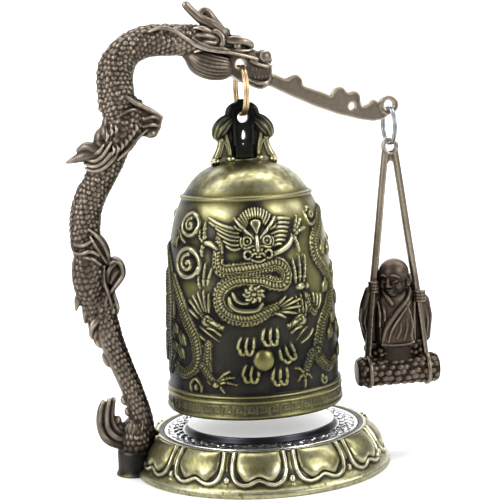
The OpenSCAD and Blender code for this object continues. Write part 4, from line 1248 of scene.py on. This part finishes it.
def beam():
    x, _, z = tip_hole
    charm_x, charm_z = 32.8, 110.1
    parts = [slab(BEAM, 2.5),
             slab([(4.5, 117.8), (8.6, 117), (8.6, 121.4), (4.5, 121.6)], 2.5),
             bar((x, -1.5, z), (x, 1.5, z), 3.05, 48)]
    rim = curve(np.array(BEAM[8:]), 120)
    for side in (-1, 1):
        parts += [tube(xz(rim - [0, 0.35], 1.1 * side), 0.42, steps=1, sides=12),
                  hoop(x, z, 2.6, 1.2 * side, np.arange(-130, 200, 15))]
    cast("beam_casting", parts, 0.22, "post", "beam_bronze", ["beam"],
         cuts=[hole(x, z, 1.5), hole(charm_x, charm_z, 1.05)], base=0.62)


dragon_body()
dragon_head()
beam()


# ---- the crown and the rings ----

def crown():
    """The loop on the bell: a pierced plate between two scrolls, with a bud and two legs at each side."""
    x0, z0 = bell_x, dome_z

    def q(points):
        return [(x0 + x, z0 + z) for x, z in points]

    def p(points, y=0.0):
        return xz(q(points), y)
    half = [(2.7, -0.6), (2.6, 6), (2.9, 9), (3.2, 12.4), (3.2, 14.6), (2.6, 16.2), (1.7, 16.9), (1.3, 17.8)]
    parts = [slab(q(half + [(-x, z) for x, z in half[::-1]]), 3.2)]
    for s in (-1, 1):
        # Upper scroll, grooved bud, and the two legs with an arch between them, on a thin web.
        web = [(s * 3, -1.2), (s * 9.2, -2), (s * 7.8, 3), (s * 7.4, 7), (s * 5, 10), (s * 3, 10)]
        parts += [slab(q(web), 1.5),
                  tube(p([(s * 1.6, 16.4), (s * 3.0, 15.6), (s * 4.1, 14.4), (s * 4.5, 12.4)]), [0.75, 1.0, 1.0, 0.9],
                       depth=1.7),
                  tube(p([(s * 3.2, 12.2), (s * 5.2, 10.8), (s * 6.9, 8.8), (s * 7.8, 6.9), (s * 7.7, 5.9)]),
                       [1.4, 2.3, 2.5, 1.8, 0.8], depth=1.25, sides=112, steps=14,
                       skin=lambda along, angle, radius: 0.42 * (np.abs(np.sin(5 * angle)) - 0.6)),
                  tube(p([(s * 6.9, 5.8), (s * 7.5, 3), (s * 8.8, 0.2), (s * 9.4, -1)]), [0.9, 0.95, 1.1, 1.3],
                       depth=1.6),
                  tube(p([(s * 5.4, 7), (s * 4.7, 4), (s * 4.3, 0)]), [0.9, 0.85, 1.0], depth=2.2),
                  tube(p([(s * 5.1, 0.6), (s * 5.3, 3), (s * 6.1, 5.2), (s * 6.7, 3), (s * 7.6, 0.4)]), 0.42,
                       depth=3.6)]
        for y in (-1, 1):
            parts += [blob((x0 + s * 8.9, 1.7 * y, z0 - 0.75), (1.3, 1.2, 0.9)),
                      blob((x0 + s * 4.4, 2.8 * y, z0 - 0.1), (1.4, 1.1, 0.9)),
                      tube(p([(s * 2.7, 15.2), (s * 2.9, 12.6), (s * 2.9, 9), (s * 2.8, 4)], 1.45 * y), 0.42)]
    parts.append(bar((x0, 0, z0 - 1.6), (x0, 0, z0 - 0.2), 5, 64))
    hole_z = bell_ring_centre[2] * 2 - jaw_hole[2]
    cuts = [hole(x0, hole_z, 1.65),
            slab(q([(0, 5.3), (0.6, 6), (0.65, 7.2), (0.1, 9), (-0.5, 7.2), (-0.6, 6)]), 12),
            hole(x0 - 0.1, z0 + 4.1, 0.32)]

    def tone_and_light(v):
        x, z = np.abs(v[:, 0] - x0), v[:, 2] - z0
        legs = smoothstep((7 - z) / 2) * smoothstep((x - 3.4) / 0.6)
        return (0.24 * legs + 0.3 * smoothstep((0.8 - z) / 1.4) * smoothstep((x - 2.5) / 2)
                + 0.14 * smoothstep((x - 4) / 2) - 0.22 * smoothstep((3.8 - x) / 0.6) * smoothstep((z - 0.5) / 1)
                - 0.24 * smoothstep((z - 9.4) / 2.4))
    cast("crown_casting", parts, 0.2, "bell", "black_patina", ["bell_crown"], cuts=cuts, base=0.34, tone_and_light=tone_and_light)


def split_ring(name, node, centre, body, slot, twist=5, around=24):
    """A ring of two turns of wire, side by side, crossing over once; twist is in degrees about its plumb line."""
    low, high = node_mm(node)
    # The CAD ring is two wires wide, less a little.
    wire = (high[0] - low[0]) / 1.96
    t = np.linspace(0, 4 * np.pi, 260)
    r = (high[2] - low[2] - wire) / 2
    shift = 0.5 * wire * (2 * smoothstep((t / (2 * np.pi) - 0.93) / 0.14) - 1)
    path = np.column_stack([centre[0] + shift, centre[1] + r * np.sin(t + 0.5), centre[2] + r * np.cos(t + 0.5)])
    way = np.gradient(path, axis=0)
    way /= np.linalg.norm(way, axis=1)[:, None]
    out = path - centre
    out[:, 0] = 0
    out /= np.linalg.norm(out, axis=1)[:, None]
    third = np.cross(way, out)
    a = np.linspace(0, 2 * np.pi, around, endpoint=False)[None, :, None]
    verts = path[:, None] + wire / 2 * 0.97 * (np.cos(a) * out[:, None] + np.sin(a) * third[:, None])
    verts = verts.reshape(-1, 3)
    c, s = math.cos(math.radians(twist)), math.sin(math.radians(twist))
    x, y = (verts[:, :2] - centre[:2]).T
    verts[:, 0], verts[:, 1] = centre[0] + x * c - y * s, centre[1] + x * s + y * c
    make(name, verts, capped(len(t), around), np.full(len(verts), 0.7), body, slot, [node])


def fastener(name, node, body, sides=64, shank=1.22, washer_hole=1.4):
    """A screw whose pan head is at its bottom, or a washer if it is thinner than it is wide."""
    low, high = node_mm(node)
    x, r, h = (low[0] + high[0]) / 2, (high[0] - low[0]) / 2, high[2] - low[2]
    if h < r:
        profile = [(washer_hole, low[2]), (r - 0.1, low[2]), (r, low[2] + 0.1), (r, high[2] - 0.1),
                   (r - 0.1, high[2]), (washer_hole, high[2])]
        last = (len(profile) - 1) * sides
        faces = grid_faces(len(profile), sides)
        faces += [[last + k, last + (k + 1) % sides, (k + 1) % sides, k] for k in range(sides)]
    else:
        head = low[2] + (0.5 if h < 6 else 1.5)
        profile = [(0.5, low[2] + 0.3), (0.7, low[2] + 0.05), (r - 0.5, low[2]), (r, low[2] + 0.2), (r, head),
                   (shank, head)]
        thread = np.arange(head + 0.1, high[2] - 0.2, 0.25)
        profile += [(shank - 0.12 * (k % 2), z) for k, z in enumerate(thread)] + [(shank - 0.3, high[2])]
        faces = capped(len(profile), sides)
    verts = revolve(profile, sides, x)
    make(name, verts, faces, np.full(len(verts), 0.6), body, "fastener_steel", [node])


for fastener_body, place in (("post", "socket"), ("bell", "crown")):
    fastener(place + "_pan_screw", place + "_screw", fastener_body)
    fastener(place + "_flat_washer", place + "_washer", fastener_body)
crown()
split_ring("bell_split_ring", "bell_ring", bell_ring_centre, "upper_ring", "gold_wire")
split_ring("striker_split_ring", "striker_ring", striker_ring_centre, "beam_ring", "steel_wire")


# ---- the striker ----

strike_x = striker_ring_centre[0]
EYE_Z = 97.1                 # the frame's eye
HAND_Z, HAND_X = 51.0, 7.2   # where the hands hold the rods; X is from the middle of the striker
STRAP_X = 9.4
log_low, log_high = node_mm("log_seat")
log_z, log_r = (log_low[2] + log_high[2]) / 2, (log_high[2] - log_low[2]) / 2


def striker_frame():
    parts = [bar((strike_x, -1.1, EYE_Z), (strike_x, 1.1, EYE_Z), 2.65, 48),
             slab([(strike_x + x, z) for x, z in ((-2.4, 96.2), (2.4, 96.2), (2.6, 90.5), (1.4, 91.6), (0, 92.6),
                                                  (-1.4, 91.6), (-2.6, 90.5))], 2.1)]
    for s in (-1, 1):
        line = [(strike_x + s * 1.5, 95.6), (strike_x + s * 3.0, 84), (strike_x + s * 4.7, 70),
                (strike_x + s * 6.3, 57.8), (strike_x + s * HAND_X, HAND_Z), (strike_x + s * 8.3, 41),
                (strike_x + s * STRAP_X, log_z + log_r - 0.4)]
        parts.append(tube(xz(line), [1.15, 1.15, 1.2, 1.2, 1.15, 1.05, 1.0], depth=1.2, sides=24))
        # A bevel runs down the front and the back of each rod.
        for y in (-1.2, 1.2):
            parts.append(tube(xz([(x - s * 0.35, z) for x, z in line], y), 0.42, sides=12))
    parts += [hoop(strike_x, EYE_Z, 2.15, y, np.arange(0, 375, 15)) for y in (-1.15, 1.15)]

    cast("frame_casting", parts, 0.2, "striker", "beam_bronze", ["striker_frame"],
         cuts=[hole(strike_x, EYE_Z, 1.5)], gain=0.45, base=0.6,
         tone_and_light=lambda v: -0.16 * smoothstep((60 - v[:, 2]) / 6))


def monk():
    """A bald seated monk of plain textbook proportions, holding on to the rods."""
    def rod(points, radii, **more):
        return tube([(strike_x + x, y, z) for x, y, z in points], radii, **more)

    def egg(x, y, z, radii):
        return blob((strike_x + x, y, z), radii)

    def board(outline, thick, middle):
        return slab([(strike_x + x, z) for x, z in outline], thick, middle)

    # Robe: body, lap, hem.
    seat = log_z + log_r
    parts = [rod([(0, 0.4, seat - 0.5), (0, 0.2, 36), (0, -0.1, 42), (0, 0.1, 47.6), (0, 0.3, 50.6), (0, 0.4, 52.6)],
                 [6.2, 6.6, 6.4, 6.0, 4.8, 3.2], depth=0.6, sides=48),
             board([(-5.4, 35.2), (-5.2, 38.5), (-4.2, 42), (-2, 45), (3, 48), (4.2, 45), (4.4, 40), (4.6, 35.4),
                    (0, 34.9)], 4.6, -1.6),
             rod([(-5.4, -3.7, 35.3), (-2.6, -4.0, 35.0), (0, -4.1, 34.9), (2.6, -4.0, 35.0), (4.8, -3.6, 35.5)],
                 0.42,
                 up=(0, 0, 1))]
    # Feet and folds in the shade below the hem.
    for k in range(9):
        parts += [egg(-5.8 + 1.4 * k, -2.0 - 0.35 * (k % 2), 33.2 + 0.7 * ((k * 5) % 3), (1.05, 1.1, 0.9)),
                  egg(-5.4 + 1.35 * k, -1.9, 31.8 + 0.4 * (k % 2), (1.0, 1.0, 0.8)),
                  egg(-7.2 + 1.8 * k, -0.9, 32.4 + 0.7 * ((k * 3) % 2), (0.9, 1.2, 1.0))]
    parts.append(board([(-8.4, 31), (8.4, 31), (8, 35.4), (-8, 35.4)], 3.2, 1.0))
    # Lapels: the left one crosses over the right one.
    parts += [rod([(4.6, -1.0, 52), (3.4, -3.0, 49.4), (0.2, -4.0, 46), (-3.6, -3.9, 41), (-4.9, -3.5, 37.6),
                   (-5.2, -3.0, 35)], [0.6, 0.75, 0.75, 0.7, 0.65, 0.6]),
              rod([(5.0, -1.2, 50), (3.6, -3.1, 47.6), (1.0, -4.0, 44.4), (-2.2, -4.1, 39.8), (-3.4, -3.9, 36)],
                  [0.4, 0.5, 0.45, 0.4, 0.3]),
              rod([(-4.1, -1.4, 52), (-3.2, -3.0, 50), (-1.9, -3.7, 48)], [0.6, 0.75, 0.6]),
              rod([(-4.5, -1.6, 48.2), (-4.3, -3.2, 45.6), (-4.3, -3.7, 43)], [0.45, 0.5, 0.35]),
              rod([(-5.6, -1.2, 47.4), (-5.6, -2.6, 44.4), (-5.8, -2.8, 41)], [0.45, 0.55, 0.35])]
    for x0, x1, z0, z1 in ((2.8, 1.7, 43.6, 36.6), (0.8, -0.6, 42, 37), (4.0, 3.9, 44.6, 37.4)):
        parts.append(rod([(x0, -3.7, z0), ((x0 + x1) / 2 + 0.5, -3.88, (z0 + z1) / 2), (x1, -3.9, z1)],
                         [0.2, 0.42, 0.25]))
    # Shoulders, sleeves that hang from the arms, forearms and fists on the rods.
    for s, fist_x, fist_z, wide, low in ((-1, 6.85, 53.4, 8.9, 8.0), (1, 7.4, 49.6, 9.7, 9.8)):
        parts += [rod([(s * 2.2, 1.4, 50.6), (s * 5.2, 1.8, 49.2), (s * (wide - 1.4), 2.2, 46.6),
                       (s * wide, 2.2, 43.4)],
                      [2.4, 3.1, 3.0, 2.3], depth=0.8),
                  rod([(s * (wide + 0.1), 2.4, 43), (s * (wide - 0.2), 1.9, 47.4),
                       (s * (fist_x + 1.4), 0.1, fist_z - 1.2)],
                      [2.5, 2.2, 1.4], depth=0.8),
                  egg(s * 5.2, 2.0, fist_z + 0.9, (2.2, 1.4, 4.2)),
                  rod([(s * wide, 2.1, 44), (s * (wide + low) / 2, 2.2, 39.6), (s * low, 2.2, 36.2)], [2.6, 2.4, 2.0],
                      depth=0.6),
                  rod([(s * 6.2, 2.1, 46), (s * 6.8, 2.3, 40), (s * 6.4, 2.2, 34.6)], [3.4, 3.2, 3.0], depth=0.6),
                  rod([(s * 2, 1.6, 33), (s * 7.8, 1.7, 33.4)], [2.4, 2.4], depth=0.9),
                  rod([(s * (wide + 1.6), 1.0, 46.4), (s * (wide + 2.1), 1.3, 42.6), (s * (low + 1.6), 1.6, 37.4)],
                      [0.3, 0.5, 0.3]),
                  rod([(s * (wide + 0.4), 0.5, 45.4), (s * (wide + 0.9), 0.7, 41.6), (s * (low + 0.5), 0.9, 37.4)],
                      [0.25, 0.45, 0.25]),
                  rod([(s * 5.9, -1.8, 48.6), (s * 5.4, -2.4, 43), (s * 5.6, -2.0, 36)], [0.25, 0.45, 0.25]),
                  egg(s * (fist_x + 0.5), -1.9, fist_z, (1.5, 1.1, 2.0))]
        for k in range(4):
            z = fist_z + 1.5 - 0.95 * k
            parts.append(rod([(s * (fist_x + 1.7), -2.0, z), (s * (fist_x + 0.7), -2.95, z + 0.05),
                              (s * (fist_x - 0.6), -2.7, z), (s * (fist_x - 1.3), -1.7, z)], [0.45, 0.5, 0.5, 0.42],
                             up=(0, 0, 1)))
        parts.append(rod([(s * (fist_x - 0.9), -2.2, fist_z + 0.4), (s * (fist_x - 0.4), -2.7, fist_z + 2.0)],
                         [0.45, 0.35]))
    # Back of the robe.
    parts += [rod([(x, 3.1, 45), (1.3 * x, 4.0 - 0.03 * x * x, 40), (1.4 * x, 4.2 - 0.04 * x * x, 34)],
                  [0.3, 0.5, 0.5])
              for x in (-3, 0, 3)]
    parts.append(rod([(-3.4, 1.8, 49.2), (0, 2.9, 49.7), (3.4, 1.8, 49.2)], [0.6, 0.7, 0.6], up=(0, 0, 1)))
    # Neck and head. The head leans a little forward and turns to its right.
    parts.append(rod([(0, 0.2, 49), (-0.2, -0.4, 53)], [3.0, 2.9]))
    yaw, nod = math.radians(-36), math.radians(12)
    spin = np.array(Matrix.Rotation(yaw, 3, "Z") @ Matrix.Rotation(nod, 3, "X"))

    def on_head(part):
        v, f = part
        return 1.04 * v @ spin.T + np.array([strike_x - 0.35, -0.9, 55.9]), f
    # Drawn about the middle of the head: x to the side, y to the back, z up; 5.7 mm from crown to middle.
    head = [blob((0, 0.35, 1.5), (4.6, 4.75, 4.3), sides=48), blob((0, 1.3, -0.4), (4.75, 3.2, 3.0)),
            blob((0, -0.4, -1.2), (3.85, 4.0, 4.3), sides=48),
            blob((0, -1.9, -4.0), (1.75, 1.9, 1.3)),
            tube([(0, -4.3, 1.1), (0, -4.75, 0.1), (0, -5.15, -0.85)], [0.42, 0.5, 0.62]),
            blob((0, -5.0, -1.0), (0.85, 0.62, 0.5)),
            tube([(-1.3, -4.0, -2.38), (-0.45, -4.45, -2.47), (0, -4.42, -2.54), (0.45, -4.45, -2.47),
                  (1.3, -4.0, -2.38)],
                 [0.2, 0.33, 0.28, 0.33, 0.2], up=(0, 0, 1)),
            tube([(-0.95, -4.0, -3.1), (0, -4.4, -3.2), (0.95, -4.0, -3.1)], [0.2, 0.36, 0.2], up=(0, 0, 1))]
    for s in (-1, 1):
        head += [tube([(s * 0.85, -4.25, 2.0), (s * 1.9, -4.1, 2.15), (s * 3.1, -3.25, 1.35)], [0.28, 0.36, 0.25],
                      up=(0, 0, 1)),
                 blob((s * 1.75, -3.6, 0.3), (0.95, 0.62, 0.48)),
                 tube([(s * 0.85, -4.2, 0.15), (s * 1.75, -4.4, -0.02), (s * 2.65, -3.75, 0.12)], 0.15, up=(0, 0, 1)),
                 blob((s * 2.3, -2.9, -1.5), (1.25, 1.2, 1.3)),
                 blob((s * 0.62, -4.75, -1.15), (0.42, 0.4, 0.34)),
                 tube([(s * 4.3, 0.4, 1.2), (s * 4.85, 0.9, 0.6), (s * 4.8, 0.8, -0.8), (s * 4.35, 0.1, -2.0)],
                      [0.4, 0.5, 0.48, 0.62]),
                 tube([(s * 4.3, -0.1, 0.6), (s * 4.5, 0.0, -0.4), (s * 4.25, -0.2, -1.6)], [0.2, 0.25, 0.3])]
    parts += [on_head(h) for h in head]

    # Painted light and shade: a painted highlight on the crown of the head, painted shade on the face and below the
    # hem.
    def tone_and_light(v):
        x, y, z = v[:, 0] - strike_x, v[:, 1], v[:, 2]
        painted_light_crown = smoothstep((z - 57.4) / 2) * smoothstep((5.5 - np.hypot(x, y)) / 2)
        face = (smoothstep((57.2 - z) / 1.2) * smoothstep((z - 51) / 1.5)
                * smoothstep((5.4 - np.abs(x)) / 1) * (y < -2))
        return 0.16 * painted_light_crown - 0.1 * face - 0.16 * smoothstep((36 - z) / 2)
    cast("monk_casting", parts, 0.17, "striker", "monk_bronze", ["monk"], reach=9, gain=0.46, base=0.38, tone_and_light=tone_and_light)


def log_roll():
    """A roll like a short log with a knotted skin."""
    half = (log_high[0] - log_low[0]) / 2 - 0.3
    rows, columns, round_rows = 260, 300, 14
    xx, aa = np.meshgrid(np.linspace(-half, half, rows), np.linspace(0, 2 * np.pi, columns, endpoint=False),
                         indexing="ij")
    rng = np.random.default_rng(11)
    rise = np.full(xx.shape, -0.25)
    for j in range(round_rows):
        for i in range(12):
            kx = (i + 0.5 * (j % 2) + 0.2 * rng.uniform(-1, 1)) * 2.5 - 14
            ka = (j + 0.2 * rng.uniform(-1, 1)) * 2 * np.pi / round_rows
            size, lean = 0.95 + 0.2 * rng.random(), rng.uniform(-0.25, 0.25)
            dx, da = xx - kx, (np.mod(aa - ka + np.pi, 2 * np.pi) - np.pi) * log_r
            u = (dx * math.cos(lean) + da * math.sin(lean)) / (1.3 * size)
            v = (da * math.cos(lean) - dx * math.sin(lean)) / (1.08 * size)
            rise = np.maximum(rise, 0.62 * np.sqrt(np.clip(1 - u * u - v * v, 0, 1)) - 0.25)
    inset = half - np.abs(xx)
    rounding = 0.80 + 0.20 * arc(1 - np.clip(inset / 1.6, 0, 1))
    r = (log_r - 0.35 + rise * np.clip(smoothstep(inset / 2.4) * 1.4, 0, 1)) * rounding
    verts = np.stack([strike_x + xx, -r * np.cos(aa), log_z + r * np.sin(aa)], -1).reshape(-1, 3)
    wear_and_light = np.clip(0.17 + 0.38 * smoothstep((rise + 0.12) / 0.5), 0, 1)
    make("log_casting", verts, capped(rows, columns), wear_and_light.ravel(), "striker", "monk_bronze", ["log_seat"])


def straps():
    """The two bands that hold the log: a rounded oblong turned about the log's axis."""
    around, turns = 16, 96
    wide, inner, thick = 0.64, log_r - 0.25, 0.85
    b = 2 * np.pi * np.arange(around) / around
    dx = wide * np.sign(np.cos(b).round(12)) * np.abs(np.cos(b)) ** 0.6
    r = inner + thick / 2 + thick / 2 * np.sign(np.sin(b).round(12)) * np.abs(np.sin(b)) ** 0.6
    t = np.linspace(0, 2 * np.pi, turns, endpoint=False)
    k, i = np.meshgrid(np.arange(around), np.arange(turns), indexing="ij")
    after, m = (k + 1) % around, (i + 1) % turns
    faces = np.stack([k * turns + i, after * turns + i, after * turns + m, k * turns + m], -1).reshape(-1, 4).tolist()
    wear_and_light = np.repeat(np.where(r > inner + thick * 0.6, 0.6, 0.3), turns)
    for s, name, node in ((-1, "strap_left", ["log_straps"]), (1, "strap_right", ())):
        x = np.broadcast_to((strike_x + s * STRAP_X + dx)[:, None], (around, turns))
        verts = np.stack([x, r[:, None] * np.cos(t), log_z + r[:, None] * np.sin(t)], -1).reshape(-1, 3)
        make(name, verts, faces, wear_and_light, "striker", "beam_bronze", node)


striker_frame()
monk()
log_roll()
straps()


# ---- floor, light and camera ----

def sweep_floor():
    """A pale floor that curves up behind the object; its lines are given as (y, z) in metres."""
    paper = Shader("studio_paper")
    paper.surface.inputs["Base Color"].default_value = (0.93, 0.93, 0.93, 1)
    paper.surface.inputs["Roughness"].default_value = 0.9
    half_width, flat_end, bend = 2.2, 0.55, 0.35
    rise = [(-0.5, 0.0), (flat_end, 0.0)]
    for a in np.radians(np.arange(7.5, 91, 7.5)):
        rise.append((flat_end + bend * math.sin(a), bend * (1 - math.cos(a))))
    rise.append((flat_end + bend, 1.6))
    mesh = bpy.data.meshes.new("studio_floor")
    mesh.from_pydata([(x, y, z) for y, z in rise for x in (-half_width, half_width)], [],
                     [(2 * k, 2 * k + 1, 2 * k + 3, 2 * k + 2) for k in range(len(rise) - 1)])
    mesh.shade_smooth()
    mesh.materials.append(paper.material)
    linked("studio_floor", mesh)


def area_light(name, place, aim, size, power):
    light = bpy.data.lights.new(name, "AREA")
    light.shape = "RECTANGLE"
    light.size, light.size_y = size
    light.energy = power
    lamp = linked(name, light)
    lamp.location = place
    lamp.rotation_euler = (Vector(aim) - Vector(place)).to_track_quat("-Z", "Y").to_euler()


sweep_floor()
area_light("softbox_left", (-0.62, -0.42, 0.40), (0, 0, 0.09), (0.30, 0.42), 4.2)
area_light("softbox_right", (0.47, -0.56, 0.40), (0, 0, 0.09), (0.30, 0.42), 4.2)
area_light("softbox_top_left", (-0.75, 0.0, 0.62), (0, 0, 0.05), (0.3, 0.45), 2.0)
area_light("softbox_top_right", (0.75, 0.0, 0.62), (0, 0, 0.05), (0.3, 0.45), 2.0)
area_light("backdrop_light", (0, 0.17, 0.93), (0, 0.9, 0.35), (1.2, 0.4), 17)
world = bpy.data.worlds.new("studio")
scene.world = world
world.use_nodes = True
background = world.node_tree.nodes["Background"]
background.inputs["Color"].default_value = (0.9, 0.9, 0.92, 1)
background.inputs["Strength"].default_value = 0.22
scene.view_settings.view_transform = "Standard"


def aim_camera():
    """The photograph's viewpoint: a little to the left, close, and looking slightly down."""
    turn, pitch, roll = math.radians(8), math.radians(7.19), math.radians(2.67)
    lens = bpy.data.cameras.new("camera")
    lens.lens = 103.9
    lens.sensor_width = 36
    camera = linked("camera", lens)
    forward = Vector((math.sin(turn) * math.cos(pitch), math.cos(turn) * math.cos(pitch), -math.sin(pitch)))
    turned = forward.to_track_quat("-Z", "Y") @ Matrix.Rotation(-roll, 3, "Z").to_quaternion()
    camera.rotation_mode = "QUATERNION"
    camera.rotation_quaternion = turned
    camera.location = (-0.0625, -0.4383, 0.1232)
    scene.camera = camera


aim_camera()
